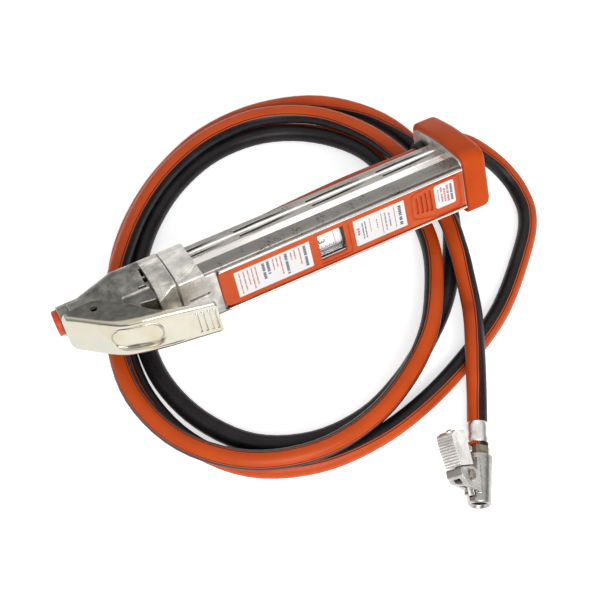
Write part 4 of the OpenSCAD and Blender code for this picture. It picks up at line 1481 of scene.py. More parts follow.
@dataclass
class Barrel(SubAssembly):
    """The extruded barrel, with a raised lip along each side of the label panel."""

    edge: float = 0.25
    lip_start: float = -55.0
    lip_end: float = 118.0
    lip_z: Flat = (13.7, 15.3)
    lip_front: float = 24.2
    lip_back: float = 20.7
    lip_edge: float = 0.5
    lip_nose: float = 2.0

    def build(self) -> None:
        """Dresses the barrel, with its long edges rounded."""
        bench = self.bench
        piece = bench.copy_of("barrel", "BarrelExtrusion")
        bench.soften(piece, self.edge, 2, 50.0)
        for side in (1.0, -1.0):
            low, high = sorted((side * self.lip_z[0], side * self.lip_z[1]))
            lip = bench.block("Lip", (self.lip_start, -self.lip_front, low),
                              (self.lip_end, -self.lip_back, high))
            top, end = 0.1 - self.lip_front, self.lip_start + 0.1
            bench.bevel(lip, self.lip_edge, 4, lambda at, way: at.y < top and abs(way.x) > 0.9)
            bench.bevel(lip, self.lip_nose, 6, lambda at, way: at.y < top and at.x < end)
            piece = bench.join("BarrelExtrusion", [piece, lip])
        bench.done(piece, BARREL_METAL, Body.TOOL, Slot.ALUMINIUM, "barrel")


@dataclass
class ValveHead(SubAssembly):
    """The two castings at the air inlet's end, the plug, and the valve inside them."""

    head_grain: float = 0.46
    # What fills each side between the nose and the chest, in (y, z), and where along the tool
    fill_outline: tuple[Flat, ...] = ((-5.5, 11.0), (-5.5, 13.2), (13.0, 17.45), (13.0, 14.0), (0.0, 11.0))
    fill_x: Flat = (-113.5, -94.6)
    # Pockets, as (x, y, length along x, length along y)
    pockets: tuple[tuple[float, float, float, float], ...] = (
        (-96.6, 4.4, 1.7, 7.4), (-96.8, -1.0, 1.9, 4.2), (-102.1, -4.4, 4.9, 1.7))
    pocket_z: Flat = (11.0, 24.0)
    adapter_grain: float = 0.36
    slit: tuple[Point, Point] = ((-76.9, -24.0, 1.6), (-63.5, -20.2, 2.9))
    nose_y: float = 15.5
    # The plug's outline from its mouth round its rim to its cupped face and back inside, as (x, radius)
    plug_profile: tuple[Flat, ...] = (
        (-144.0, 4.2), (-144.0, 6.3), (-144.3, 6.55), (-153.0, 6.55), (-153.0, 8.1), (-153.3, 8.45),
        (-155.4, 8.5), (-156.1, 8.25), (-156.5, 7.7), (-156.5, 7.2), (-156.2, 6.6), (-155.5, 5.2),
        (-155.15, 3.0), (-155.05, 0.0), (-153.6, 0.0), (-153.6, 4.2), (-144.0, 4.2))
    # The plunger's spring: its ends, its radius, its wire and its open turns
    spring: tuple[Point, Point] = ((-112.0, 12.7, 0.0), (-112.0, 20.5, 0.0))
    spring_form: tuple[float, float, float] = (3.0, 0.8, 3.0)

    def flat_side(self, head: Piece) -> None:
        """Fills the valley between the nose and the chest, then opens the pockets at the chest's foot again.

        Args:
            head: The head's casting.
        """
        bench = self.bench
        for side in (1.0, -1.0):
            outline = [(y, side * z) for y, z in self.fill_outline]
            bench.combine(head, "UNION", [bench.prism("Fill", outline, *self.fill_x)])
            low, top = sorted(side * z for z in self.pocket_z)
            bench.cut(head, *(bench.block("Pocket", (x, y, low), (x + long, y + high, top))
                              for x, y, long, high in self.pockets))

    def castings(self) -> None:
        """Melts the two castings' edges and inner corners."""
        bench = self.bench
        head = bench.copy_of("valve_head", "HeadCasting")
        self.flat_side(head)
        bench.cast(head, self.head_grain, 2)
        bench.done(head, HEAD_CAST, Body.TOOL, Slot.CAST, "valve_head", smooth=180.0)
        adapter = bench.copy_of("adapter", "AdapterCasting")
        bench.cut(adapter, bench.block("Slit", *self.slit))
        bench.cast(adapter, self.adapter_grain, 2)
        bench.done(adapter, ADAPTER_CAST, Body.TOOL, Slot.CAST, "adapter", smooth=180.0)

    def plug(self) -> None:
        """Turns the transit plug, with its cupped face and hollow stem."""
        piece = self.bench.turned("InletPlug", self.plug_profile, (self.nose_y, 0.0))
        self.bench.done(piece, PLUG_PLASTIC, Body.PLUG, Slot.ORANGE_PLASTIC, "inlet_plug")

    def valve(self) -> None:
        """Dresses the valve's pieces, and winds its spring."""
        bench = self.bench
        bench.reuse(GASKET_RUBBER, "head_gasket")
        bench.reuse(BLACK_RUBBER, "plunger_seal")
        bench.reuse(BRASS, "inlet_strainer", "valve_plunger")
        bench.softened("valve_cap", "ValveCap", 0.3, 2, BRASS, Body.TOOL, Slot.BRASS)
        spring = bench.coil("PlungerSpring", *self.spring, *self.spring_form)
        bench.done(spring, STEEL, Body.TOOL, Slot.STEEL, "plunger_spring", smooth=60.0)

    def build(self) -> None:
        """Builds the castings, the plug and the valve."""
        self.castings()
        self.plug()
        self.valve()


@dataclass
class TriggerLever(SubAssembly):
    """The pressed lever: a broad face with a raised border, an oval dimple and four ribs, over two cheeks."""

    # Along the tool: where the face runs, half its width, its edge radius, and the cheeks' lower edge
    face: tuple[Flat, ...] = (
        (-152.9, -0.1), (-152.2, 0.7), (-150.5, 2.5), (-147.0, 6.4), (-134.0, 20.7), (-128.5, 26.2),
        (-124.5, 29.6), (-119.5, 32.2), (-110.0, 35.3), (-98.0, 38.4), (-68.0, 46.0), (-66.2, 46.4))
    half: tuple[Flat, ...] = ((-152.9, 8.6), (-152.2, 11.4), (-150.5, 13.2), (-147.0, 13.6),
                              (-110.0, 13.6), (-98.0, 13.5), (-68.0, 12.0), (-66.2, 10.6))
    corner: tuple[Flat, ...] = ((-152.9, 3.0), (-147.0, 4.2), (-119.5, 4.2), (-98.0, 3.2), (-66.2, 2.4))
    cheek: tuple[Flat, ...] = (
        (-153.0, -2.1), (-149.7, -2.3), (-140.0, -3.4), (-131.6, -3.6), (-126.5, -0.8), (-120.6, 4.9),
        (-112.0, 15.3), (-106.3, 23.4), (-100.5, 31.2), (-95.5, 35.4), (-89.0, 37.6), (-79.0, 40.8),
        (-66.2, 44.4))
    sheet: float = 1.6
    knee_steps: tuple[float, ...] = (-1.2, -0.6, 0.0, 0.6, 1.2)
    # The field inside the border: its depth, how far from the edge it starts, and where from each end
    recess: float = 0.3
    recess_edge: Flat = (2.2, 4.2)
    recess_nose: Flat = (-149.0, -143.0)
    recess_tail: Flat = (-84.0, -96.0)
    dimple_at: Flat = (-115.2, 31.0)
    dimple_lean: float = 22.5
    dimple_reach: float = 8.8
    dimple_half: float = 7.2
    dimple_wall: float = 0.9
    dimple_z: float = 0.6
    # The bead round the dimple: its height, and half its width
    dimple_bead: Flat = (0.3, 0.45)
    ribs: tuple[float, ...] = (-79.1, -75.5, -72.0, -68.6)
    rib_z: Flat = (-9.6, 7.5)
    rib_height: float = 0.6
    rib_width: float = 0.55
    rib_end: float = 0.8
    pivot: Flat = (-132.4, -5.4)
    pin_radius: float = 2.52
    pin_play: float = 0.04
    pin_half: float = 12.6
    # How far from the middle the pin's hollow ends reach, and their radius
    pin_core: float = 4.0
    pin_hollow: float = 1.9
    columns: int = 290
    flat_rows: int = 34
    arc_rows: int = 8
    cheek_rows: int = 7

    def face_at(self, x: float) -> float:
        """How far the face stands out at a place along the tool, with its knees eased."""
        return sum(stretch_of(self.face, x + step) for step in self.knee_steps) / len(self.knee_steps)

    def relief(self, x: float, z: float, half: float) -> float:
        """How far the face is pressed in or stands proud at a point.

        Args:
            x: Its place along the tool.
            z: Its place across the face.
            half: Half the lever's width there.

        Returns:
            The height over the plain face.
        """
        field = ease(half - abs(z), *self.recess_edge) * ease(x, *self.recess_nose)
        proud = -self.recess * (field * ease(x, *self.recess_tail))
        middle, floor = self.dimple_at
        lean = math.radians(self.dimple_lean)
        reach = self.dimple_reach * math.cos(lean)
        past = (x - min(max(x, middle - reach), middle + reach)) / math.cos(lean)
        away = math.hypot(past, z - self.dimple_z)
        drop = self.face_at(x) - floor - (x - middle) * math.tan(lean)
        inside = 1.0 - ease(away, self.dimple_half - self.dimple_wall, self.dimple_half)
        proud = proud * (1.0 - inside) - max(drop, 0.0) * math.cos(lean) * inside
        bead, wide = self.dimple_bead
        proud += bead * math.exp(-((away - self.dimple_half - wide) / wide) ** 2)
        low, high = self.rib_z
        ends = ease(z, low, low + self.rib_end) * ease(-z, -high, self.rib_end - high)
        return proud + sum(self.rib_height * ends * math.exp(-((x - rib) / self.rib_width) ** 2)
                           for rib in self.ribs)

    def section(self, x: float) -> list[Vector]:
        """Half of the lever's section at a place along the tool, from its middle to the cheek's edge.

        Args:
            x: The place.

        Returns:
            The section's points.
        """
        front, half = self.face_at(x), stretch_of(self.half, x)
        depth = max(front - stretch_of(self.cheek, x), 0.4)
        round_by = min(stretch_of(self.corner, x), half - 1.0)
        bend = math.pi / 2 if depth >= round_by else math.acos(1.0 - depth / round_by)
        slope = self.face_at(x + 0.5) - self.face_at(x - 0.5)
        out = Vector((-slope, -1.0, 0.0)).normalized()
        rows = []
        for k in range(self.flat_rows + 1):
            z = (half - round_by) * k / self.flat_rows
            rows.append(Vector((x, -front, z)) + out * self.relief(x, z, half))
        for k in range(1, self.arc_rows + 1):
            turn = bend * k / self.arc_rows
            z, drop = half - round_by + round_by * math.sin(turn), round_by * (1.0 - math.cos(turn))
            rows.append(Vector((x, -front + drop, z)) + out * self.relief(x, z, half) * math.cos(turn))
        for k in range(1, self.cheek_rows + 1):
            drop = round_by + max(depth - round_by, 0.0) * k / self.cheek_rows
            rows.append(Vector((x, -front + drop + 0.001 * k, half if depth >= round_by else rows[-1].z)))
        return rows

    def pressing(self) -> Piece:
        """Shapes a flat grid into the pressing, then gives it its thickness and its pivot holes.

        Returns:
            The lever.
        """
        rows = 2 * (self.flat_rows + self.arc_rows + self.cheek_rows)
        bpy.ops.mesh.primitive_grid_add(x_subdivisions=self.columns, y_subdivisions=rows, size=2)
        lever = self.bench.new("LeverPressing")
        start, end = self.face[0][0], self.face[-1][0]
        sections = [self.section(start + (end - start) * i / self.columns) for i in range(self.columns + 1)]
        for vertex in lever.data.vertices:
            i = round((vertex.co.x + 1) / 2 * self.columns)
            k = round((vertex.co.y + 1) / 2 * rows) - rows // 2
            point = sections[i][abs(k)]
            vertex.co = (point.x, point.y, math.copysign(point.z, k) if k else 0.0)
        self.bench.take(lever)
        bpy.ops.object.mode_set(mode="EDIT")
        bpy.ops.mesh.select_all(action="SELECT")
        bpy.ops.mesh.normals_make_consistent(inside=False)
        bpy.ops.object.mode_set(mode="OBJECT")
        if sum(f.normal.y for f in lever.data.polygons if abs(f.center.z) < 4) > 0:
            lever.data.flip_normals()
        wall = lever.modifiers.new("Wall", "SOLIDIFY")
        wall.thickness, wall.offset, wall.use_even_offset = self.sheet, -1.0, False
        self.bench.apply(lever)
        hole = self.bench.bar("Hole", self.pin_radius, (*self.pivot, -20.0), (*self.pivot, 20.0))
        self.bench.cut(lever, hole)
        return lever

    def build(self) -> None:
        """Builds the lever and its hollow pin."""
        bench = self.bench
        bench.done(self.pressing(), LEVER_PLATE, Body.TRIGGER, Slot.PLATED, "trigger_lever", smooth=50.0)
        pin = bench.bar("PivotPin", self.pin_radius - self.pin_play, (*self.pivot, -self.pin_half),
                        (*self.pivot, self.pin_half))
        for side in (1.0, -1.0):
            bench.cut(pin, bench.bar("Hollow", self.pin_hollow, (*self.pivot, side * self.pin_core),
                                     (*self.pivot, side * 14.0)))
        bench.done(pin, PIN_STEEL, Body.TOOL, Slot.STEEL, "lever_pivot_pin")


@dataclass(frozen=True)
class PrintedLine:
    """A line of print across a sticker, which stands for words without being any.

    It has a place along the tool, a height, its two ends across it, an ink and the width of a letter.
    """

    x: float
    tall: float
    start: float
    end: float
    ink: Finish
    letter: float = 0.55
    solid: bool = False


@dataclass
class LabelPanel(SubAssembly):
    """The moulded panel with its stickers, and the frame of its grip marks."""

    low: Point = (-56.0, -22.9, -13.6)
    high: Point = (117.8, -19.9, 13.6)
    window_x: Flat = (12.6, 31.0)
    window_half: float = 9.6
    # The radii of the panel's corners, end edge and side edges, then of the window's and frame's corners
    rounding: tuple[float, float, float] = (4.0, 1.7, 0.6)
    window_round: Flat = (0.8, 1.3)
    # The finger grooves, as (x, start, end)
    slots: tuple[tuple[float, float, float], ...] = ((83.0, -5.3, 7.2), (86.4, -5.8, 7.7), (89.7, -6.3, 8.3),
                                                     (93.1, -6.9, 8.9))
    slot_y: Flat = (-23.9, -21.2)
    slot_half: float = 0.95
    # The mark round the slots, as (x, z)
    outline: tuple[Flat, ...] = ((78.8, -5.0), (79.9, -7.2), (82.5, -8.4), (96.5, -11.9), (111.3, -12.2),
                                 (113.5, -11.0), (114.3, -8.8), (114.5, 9.6), (113.6, 11.9), (111.4, 12.6),
                                 (97.0, 12.2), (82.6, 11.3), (80.4, 10.2), (79.4, 8.2))
    outline_radius: float = 0.95
    # Where the stickers' film and the ink lie
    film_y: Flat = (-23.0, -22.85)
    ink_y: Flat = (-23.03, -22.98)
    lines: tuple[PrintedLine, ...] = (
        PrintedLine(-42.9, 0.9, 7.6, -8.2, RED_INK), PrintedLine(-39.9, 0.9, 7.6, -7.0, RED_INK),
        PrintedLine(-37.0, 0.9, 7.6, -3.6, RED_INK), PrintedLine(-34.3, 0.9, 7.6, -8.0, RED_INK),
        PrintedLine(-31.7, 0.9, 7.6, -6.4, RED_INK), PrintedLine(-26.4, 1.9, 7.6, -4.4, BLUE_INK, 0.95),
        PrintedLine(-23.2, 1.9, 7.6, -2.2, BLUE_INK, 0.95), PrintedLine(-19.6, 0.9, 7.6, -0.6, RED_INK),
        PrintedLine(-17.0, 0.9, 7.6, 0.8, RED_INK), PrintedLine(-14.4, 0.9, 7.6, -6.2, RED_INK),
        PrintedLine(-10.7, 1.9, 7.6, -7.6, BLUE_INK, 0.95), PrintedLine(-7.2, 0.9, 7.0, 1.4, RED_INK),
        PrintedLine(-4.6, 0.9, 7.6, 0.8, RED_INK), PrintedLine(-1.2, 0.9, 7.6, -4.6, RED_INK),
        PrintedLine(2.4, 1.9, 7.6, -7.8, BLUE_INK, 0.95), PrintedLine(40.4, 1.5, 3.4, -3.4, RED_INK, 1.6),
        PrintedLine(43.6, 0.9, 6.0, -6.0, BLUE_INK), PrintedLine(45.6, 0.9, 6.4, -6.4, BLUE_INK),
        PrintedLine(49.0, 0.5, 7.4, -3.0, GREY_INK, 0.4), PrintedLine(53.8, 0.6, 4.6, -4.0, GREY_INK, 1.4),
        PrintedLine(57.3, 0.45, 7.8, -7.8, RED_INK, solid=True), PrintedLine(60.0, 1.0, 6.6, -6.6, GREY_INK),
        PrintedLine(62.9, 1.0, 5.4, -5.4, GREY_INK), PrintedLine(66.7, 0.45, 7.8, -7.8, RED_INK, solid=True),
        PrintedLine(70.6, 2.1, 7.4, -7.4, BLUE_INK, 1.05), PrintedLine(99.0, 0.6, 7.0, -3.0, GREY_INK, 0.4),
        PrintedLine(101.4, 1.1, 7.4, -4.6, RED_INK, 1.0), PrintedLine(103.6, 1.1, 6.0, -4.0, RED_INK, 1.4),
        PrintedLine(105.9, 1.5, 7.6, -4.8, RED_INK, 0.8), PrintedLine(108.6, 1.6, 7.6, -4.8, BLUE_INK, 0.8))

    def panel(self) -> None:
        """Shapes the panel, its window, and its finger grooves."""
        bench = self.bench
        piece = bench.block("LabelPanel", self.low, self.high)
        end, front, side = self.low[0], self.low[1] + 0.01, self.high[2] - 0.1
        corner, edge, rim = self.rounding
        bench.bevel(piece, corner, 8, lambda at, way: at.x < end + 0.1 and abs(way.y) > 0.9)
        bench.bevel(piece, edge, 5, lambda at, way: at.y < front and at.x < end + 5.0 and abs(way.y) < 0.1)
        bench.bevel(piece, rim, 3, lambda at, way: at.y < front and abs(way.x) > 0.9 and abs(at.z) > side)
        window = bench.block("Window", (self.window_x[0], -24.0, -self.window_half),
                             (self.window_x[1], -19.0, self.window_half))
        bench.bevel(window, self.window_round[0], 4, lambda at, way: abs(way.y) > 0.9)
        frame_cut = bench.block("Frame", (self.window_x[0] - 0.7, -23.2, -self.window_half - 2.4),
                                (self.window_x[1] + 3.4, -21.9, self.window_half + 0.5))
        bench.bevel(frame_cut, self.window_round[1], 4, lambda at, way: abs(way.y) > 0.9)
        cutters = [window, frame_cut]
        for x, start, end in self.slots:
            groove = bench.block("Groove", (x - self.slot_half, self.slot_y[0], start),
                                 (x + self.slot_half, self.slot_y[1], end))
            bench.bevel(groove, 0.9, 4, lambda at, way: abs(way.y) > 0.9)
            cutters.append(groove)
        ring = []
        count = len(self.outline)
        for i in range(count):
            (ax, az), (bx, bz) = self.outline[i], self.outline[(i + 1) % count]
            ring += [(ax + (bx - ax) * t / 4, self.low[1] + 0.1, az + (bz - az) * t / 4) for t in range(4)]
        cutters.append(bench.wire("GripOutline", ring, self.outline_radius, closed=True, sides=2))
        bench.cut(piece, *cutters)
        bench.done(piece, PANEL_PLASTIC, Body.TOOL, Slot.ORANGE_PLASTIC, "label_panel")

    def sticker(self, name: str, low: Flat, high: Flat, corner: float) -> None:
        """Lays a sticker of white film on the panel.

        Args:
            name: Its name.
            low: One corner, as (x, z).
            high: The opposite one.
            corner: Its corners' radius.
        """
        piece = self.bench.block(name, (low[0], self.film_y[0], low[1]), (high[0], self.film_y[1], high[1]))
        self.bench.bevel(piece, corner, 6, lambda at, way: abs(way.y) > 0.9)
        self.bench.done(piece, STICKER_FILM, Body.TOOL, Slot.WHITE)

    def print_lines(self) -> None:
        """Prints each line as a row of small blocks, broken up into words."""
        chance = random.Random(7)
        by_ink: dict[str, list[Piece]] = {}
        inks = {line.ink.name: line.ink for line in self.lines}
        for line in self.lines:
            z, word = line.start, chance.randint(3, 7)
            while z > line.end:
                wide = abs(line.end - line.start) if line.solid else line.letter * chance.uniform(0.75, 1.15)
                stop = max(z - wide, line.end)
                block = self.bench.block("Print", (line.x - line.tall / 2, self.ink_y[0], stop),
                                         (line.x + line.tall / 2, self.ink_y[1], z))
                by_ink.setdefault(line.ink.name, []).append(block)
                word -= 1
                z = stop - line.letter * (0.35 if word else 1.1)
                word = word or chance.randint(2, 8)
        for name, blocks in by_ink.items():
            self.bench.done(self.bench.join(f"Print{name}", blocks), inks[name], Body.TOOL, Slot.WHITE)

    def build(self) -> None:
        """Builds the panel, then what is stuck and printed on it."""
        self.panel()
        self.sticker("UseSticker", (-45.9, -9.7), (6.3, 9.3), 0.4)
        self.sticker("TypeSticker", (37.6, -9.6), (74.4, 9.9), 0.4)
        self.sticker("BadgeSticker", (96.4, -7.4), (111.0, 10.1), 1.6)
        self.print_lines()


@dataclass
class Gauge(SubAssembly):
    """The sliding gauge: its printed sleeve, the clear window with its cursor, and the works behind."""

    axis_y: float = -7.0
    sleeve_radius: float = 10.2
    zero_x: float = 24.4
    bar_step: float = 2.8
    last_bar: int = 12
    # The red numbers count in this many to a step
    red_step: int = 15
    sleeve_profile: tuple[Flat, ...] = ((-24.0, 9.0), (-24.0, 9.9), (-23.7, 10.2), (41.7, 10.2), (42.0, 9.9),
                                        (42.0, 0.0), (40.0, 0.0), (40.0, 9.0), (-24.0, 9.0))
    # How far over the sleeve the numbers lie, and what shows on the lens
    number_lift: float = 0.3
    lens_lift: float = 3.44
    # Where the rule runs along and round, and a tick's half width and its long and short reach
    rule_x: Flat = (-14.0, 36.0)
    tick_arc: float = 5.2
    tick_half: float = 0.2
    tick_reach: Flat = (2.4, 1.2)
    # Each row of numbers, as its place round the sleeve and its size
    black_row: Flat = (-1.2, 6.4)
    red_row: Flat = (-7.0, 2.4)
    # Half the cursor's length, and the corners of the dark edge
    cursor_half: float = 7.4
    dark_edge: tuple[Flat, Flat] = ((29.4, -9.4), (31.0, 9.4))
    # The spring: its ends along the axis, its radius, its wire and its open turns
    spring_x: Flat = (-45.9, -4.1)
    spring_form: tuple[float, float, float] = (5.0, 1.1, 6.0)

    def on_sleeve(self, x: float, arc: float, lift: float) -> Vector:
        """A point on the sleeve, from its place along the tool and its way round from the front."""
        radius, turn = self.sleeve_radius + lift, arc / self.sleeve_radius
        return Vector((x, self.axis_y - radius * math.cos(turn), -radius * math.sin(turn)))

    def strip(self, name: str, low: Flat, high: Flat, lift: float = 0.05) -> Piece:
        """A thin printed strip laid round the sleeve.

        Args:
            name: Its name.
            low: One corner, as (along, round).
            high: The opposite one.
            lift: How far over the sleeve it lies.

        Returns:
            The strip.
        """
        bpy.ops.mesh.primitive_grid_add(x_subdivisions=1, y_subdivisions=24, size=2)
        piece = self.bench.new(name)
        for vertex in piece.data.vertices:
            along = low[0] + (vertex.co.x + 1) / 2 * (high[0] - low[0])
            vertex.co = self.on_sleeve(along, low[1] + (vertex.co.y + 1) / 2 * (high[1] - low[1]), lift)
        return piece

    def number(self, value: int, x: float, arc: float, size: float) -> Piece:
        """A plain number laid round the sleeve, read from the label side.

        Args:
            value: The number.
            x: Its middle along the tool.
            arc: Its middle round the sleeve.
            size: Its height.

        Returns:
            The number.
        """
        bpy.ops.object.text_add()
        text = bpy.context.object
        text.data.body, text.data.size = str(value), size
        text.data.align_x, text.data.align_y = "CENTER", "CENTER"
        self.bench.take(text)
        bpy.ops.object.convert(target="MESH")
        piece = bpy.context.object
        piece.name = f"Number{value}"
        for vertex in piece.data.vertices:
            vertex.co = self.on_sleeve(x + vertex.co.y, arc + vertex.co.x, self.number_lift)
        return piece

    def sleeve(self) -> None:
        """Turns the sleeve and prints its scale: a line for every half, longer at the whole ones."""
        bench = self.bench
        tube = bench.turned("ScaleSleeve", self.sleeve_profile, (self.axis_y, 0.0))
        bench.done(tube, SLEEVE_WHITE, Body.GAUGE, Slot.WHITE, "scale_sleeve")
        black, red = [], []
        for k in range(2 * self.last_bar + 1):
            x = self.zero_x - k * self.bar_step / 2
            black.append(self.strip("Tick", (x - self.tick_half, self.tick_arc - self.tick_reach[k % 2]),
                                    (x + self.tick_half, self.tick_arc)))
            if k % 6 == 0 and k:
                black.append(self.number(k // 2, x, *self.black_row))
            if k % 2 == 0:
                red.append(self.number(k // 2 * self.red_step, x, *self.red_row))
        start, end = self.rule_x
        black.append(self.strip("Rule", (start, self.tick_arc), (end, self.tick_arc + 0.5)))
        bench.done(bench.join("ScalePrint", black), BLACK_INK, Body.GAUGE, Slot.WHITE)
        bench.done(bench.join("ScalePrintRed", red), RED_INK, Body.GAUGE, Slot.WHITE)

    def window(self) -> None:
        """Dresses the lens, and lays the cursor line and the dark edge on it."""
        self.bench.reuse(LENS_CLEAR, "window_lens")
        cursor = self.strip("Cursor", (self.zero_x - self.tick_half, -self.cursor_half),
                            (self.zero_x + self.tick_half, self.cursor_half), self.lens_lift)
        self.bench.done(cursor, RED_INK, Body.TOOL, Slot.ORANGE_PLASTIC)
        edge = self.strip("WindowEdge", *self.dark_edge, self.lens_lift)
        self.bench.done(edge, BLACK_INK, Body.TOOL, Slot.BLACK_RUBBER)

    def works(self) -> None:
        """Dresses the cylinder, piston and rod, and winds the spring."""
        self.bench.reuse(STEEL, "gauge_cylinder", "cylinder_cap", "piston_rod")
        self.bench.reuse(BRASS, "gauge_piston")
        self.bench.reuse(BLACK_RUBBER, "piston_seal")
        ends = [(x, self.axis_y, 0.0) for x in self.spring_x]
        spring = self.bench.coil("GaugeSpring", *ends, *self.spring_form)
        self.bench.done(spring, STEEL, Body.TOOL, Slot.STEEL, "gauge_spring", smooth=60.0)

    def build(self) -> None:
        """Builds the sleeve, the window and the works."""
        self.sleeve()
        self.window()
        self.works()


@dataclass
class BufferEnd(SubAssembly):
    """The end flange, its screws, the rubber buffer over it and the grommet round the hose."""

    start: float = 119.2
    end: float = 136.5
    # The outlines of the buffer and the flange, as outline takes them
    buffer: tuple[float, float, float, float, float] = (23.9, 47.6, 23.8, 8.0, 10.0)
    flange: tuple[float, float, float, float, float] = (21.25, 45.05, 20.05, 6.0, 9.0)
    flange_top: float = 122.05
    bow: float = 180.0
    side_end: float = 37.2
    end_round: float = 4.8
    rim_round: float = 1.4
    hose_y: float = 31.5
    hose_hole: float = 6.9
    outline_step: float = 4.0

    def outline(self, front: float, back: float, half: float, front_round: float,
                back_round: float) -> list[Flat]:
        """The bowed outline of the buffer or the flange, in (y, z).

        Args:
            front: How far it reaches past the axis towards the label.
            back: How far it reaches the other way.
            half: Half its width at the axis.
            front_round: The radius of the corners at the label side.
            back_round: The radius of the back corners.

        Returns:
            The points of one half, then of the other.
        """
        def wide(y: float) -> float:
            """Half the width at a distance from the axis."""
            return half - self.bow + math.sqrt(self.bow ** 2 - y ** 2)

        quarter = [math.radians(90.0 * step / 8) for step in range(9)]
        y = -front + front_round
        side = [(y - front_round * math.cos(turn), wide(y) - front_round * (1.0 - math.sin(turn)))
                for turn in quarter]
        y += self.outline_step
        while y < self.side_end - 2.0:
            side.append((y, wide(y)))
            y += self.outline_step
        y, centre = back - back_round, wide(self.side_end) - back_round
        side += [(y + back_round * math.sin(turn), centre + back_round * math.cos(turn)) for turn in quarter]
        return [*side, *((y, -z) for y, z in reversed(side))]

    def cover(self) -> None:
        """Draws the buffer out of its outline, rounds it over, and hollows it for flange and hose."""
        bench = self.bench
        piece = bench.prism("RubberBuffer", self.outline(*self.buffer), self.start, self.end)
        bench.bevel(piece, self.end_round, 6, lambda at, way: at.x > self.end - 0.01)
        bench.bevel(piece, self.rim_round, 3, lambda at, way: at.x < self.start + 0.01)
        hollow = bench.prism("Hollow", self.outline(*self.flange), 110.0, self.flange_top)
        way_out = bench.bar("WayOut", self.hose_hole, (115.0, self.hose_y, 0.0), (140.0, self.hose_y, 0.0))
        bench.cut(piece, hollow, way_out)
        bench.done(piece, BUFFER_RUBBER, Body.TOOL, Slot.ORANGE_RUBBER, "rubber_buffer", smooth=45.0)

    def build(self) -> None:
        """Builds the buffer, and dresses the flange, screws and grommet."""
        self.cover()
        bench, body = self.bench, Body.TOOL
        bench.softened("end_flange", "EndFlange", 0.5, 3, FLANGE_METAL, body, Slot.ALUMINIUM)
        bench.softened("hose_grommet", "HoseGrommet", 0.8, 3, BLACK_RUBBER, body, Slot.BLACK_RUBBER)
        bench.softened("flange_screws", "FlangeScrews", 0.25, 2, STEEL, body, Slot.STEEL)
        bench.softened("head_ferrule", "HeadFerrule", 0.3, 2, STEEL, body, Slot.ALUMINIUM)


# ---- clip-on connector ----


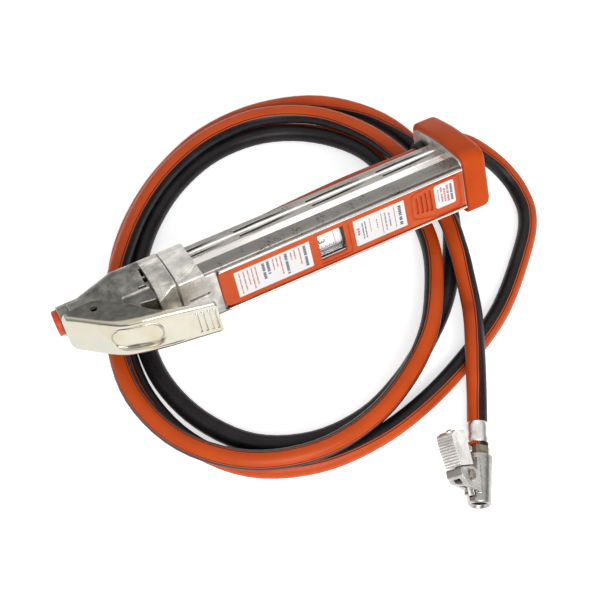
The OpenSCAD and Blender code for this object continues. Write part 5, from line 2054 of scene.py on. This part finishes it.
@dataclass
class ClipConnector(SubAssembly):
    """The connector at the hose's end: ferrule, hexagon, cast body, thumb lever, jaw and seal."""

    placing: Placing = CLIP
    grain: float = 0.3
    ferrule_profile: tuple[Flat, ...] = (
        (-14.1, 6.55), (-14.1, 6.95), (-13.8, 7.15), (-10.2, 7.15), (-9.2, 7.0), (-5.7, 7.0), (-4.7, 7.15),
        (-0.7, 7.15), (-0.4, 6.95), (-0.4, 6.55), (-14.1, 6.55))
    funnel: tuple[Flat, ...] = ((37.6, 0.0), (37.6, 4.2), (38.2, 4.4), (40.5, 6.5), (41.0, 6.5), (41.0, 0.0))
    # Grooves that carry on past the CAD ones to the lever's top, as (x, y), and the stud at its top end
    grooves: tuple[Flat, ...] = ((9.9, -32.65), (8.2, -33.15), (6.5, -33.65))
    groove_radius: float = 0.45
    stud: tuple[Point, Point] = ((4.2, -31.2, 2.8), (2.2, -33.4, 2.8))
    stud_radius: float = 1.8
    # The spring: its ends, its radius, its wire and its open turns
    spring: tuple[Point, Point] = ((6.0, -8.9, 0.0), (6.0, -19.6, 0.0))
    spring_form: tuple[float, float, float] = (2.2, 0.6, 5.0)

    def build(self) -> None:
        """Builds and dresses the connector's pieces, and keeps a list of them for the hose."""
        bench = self.bench
        ferrule = bench.turned("HoseFerrule", self.ferrule_profile, (0.0, 0.0))
        bench.done(ferrule, FERRULE_METAL, Body.TOOL, Slot.ALUMINIUM, "connector_ferrule")
        tail = bench.softened("hose_tail", "HoseTail", 0.5, 3, HEX_METAL, Body.TOOL, Slot.HEXAGON)
        body = bench.copy_of("connector_body", "ClipBody")
        bench.cut(body, bench.turned("Funnel", self.funnel, (0.0, 0.0)))
        bench.cast(body, self.grain, 2)
        bench.done(body, CLIP_CAST, Body.TOOL, Slot.CAST, "connector_body", smooth=180.0)
        lever = self.thumb_lever()
        jaw = bench.softened("clip_jaw", "ClipJaw", 0.35, 3, CLIP_STEEL, Body.JAW, Slot.STEEL)
        rivet = bench.softened("lever_rivet", "LeverRivet", 0.4, 3, RIVET_STEEL, Body.TOOL, Slot.STEEL)
        spring = bench.coil("ClipSpring", *self.spring, *self.spring_form)
        bench.done(spring, CLIP_STEEL, Body.TOOL, Slot.STEEL, "clip_spring", smooth=60.0)
        bench.reuse(BLACK_RUBBER, "valve_seal")
        bench.reuse(BRASS, "core_depressor")
        self.end_pieces = [tail, body, lever, jaw, rivet, spring, ferrule,
                           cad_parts["valve_seal"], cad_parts["core_depressor"]]

    def thumb_lever(self) -> Piece:
        """Adds the last grooves and the stud to the thumb lever, and casts it.

        Returns:
            The lever.
        """
        bench = self.bench
        lever = bench.copy_of("connector_lever", "ThumbLever")
        bench.cut(lever, *(bench.bar("Groove", self.groove_radius, (x, y, -10.0), (x, y, 10.0), 16)
                           for x, y in self.grooves))
        lever = bench.join("ThumbLever", [lever, bench.bar("Stud", self.stud_radius, *self.stud)])
        bench.cast(lever, self.grain, 2)
        return bench.done(lever, THUMB_CAST, Body.THUMB, Slot.CAST, "connector_lever", smooth=180.0)


def main() -> None:
    """Builds the studio and the object, in order."""
    logging.basicConfig(level=logging.INFO, format="%(name)s: %(message)s")
    Studio().build()
    hose = Hose()
    hose.build()
    clip = ClipConnector()
    clip.build()
    hose.declare(clip.end_pieces)
    for assembly in (Barrel(), ValveHead(), TriggerLever(), LabelPanel(), Gauge(), BufferEnd()):
        assembly.build()


if __name__ == "__main__":
    main()
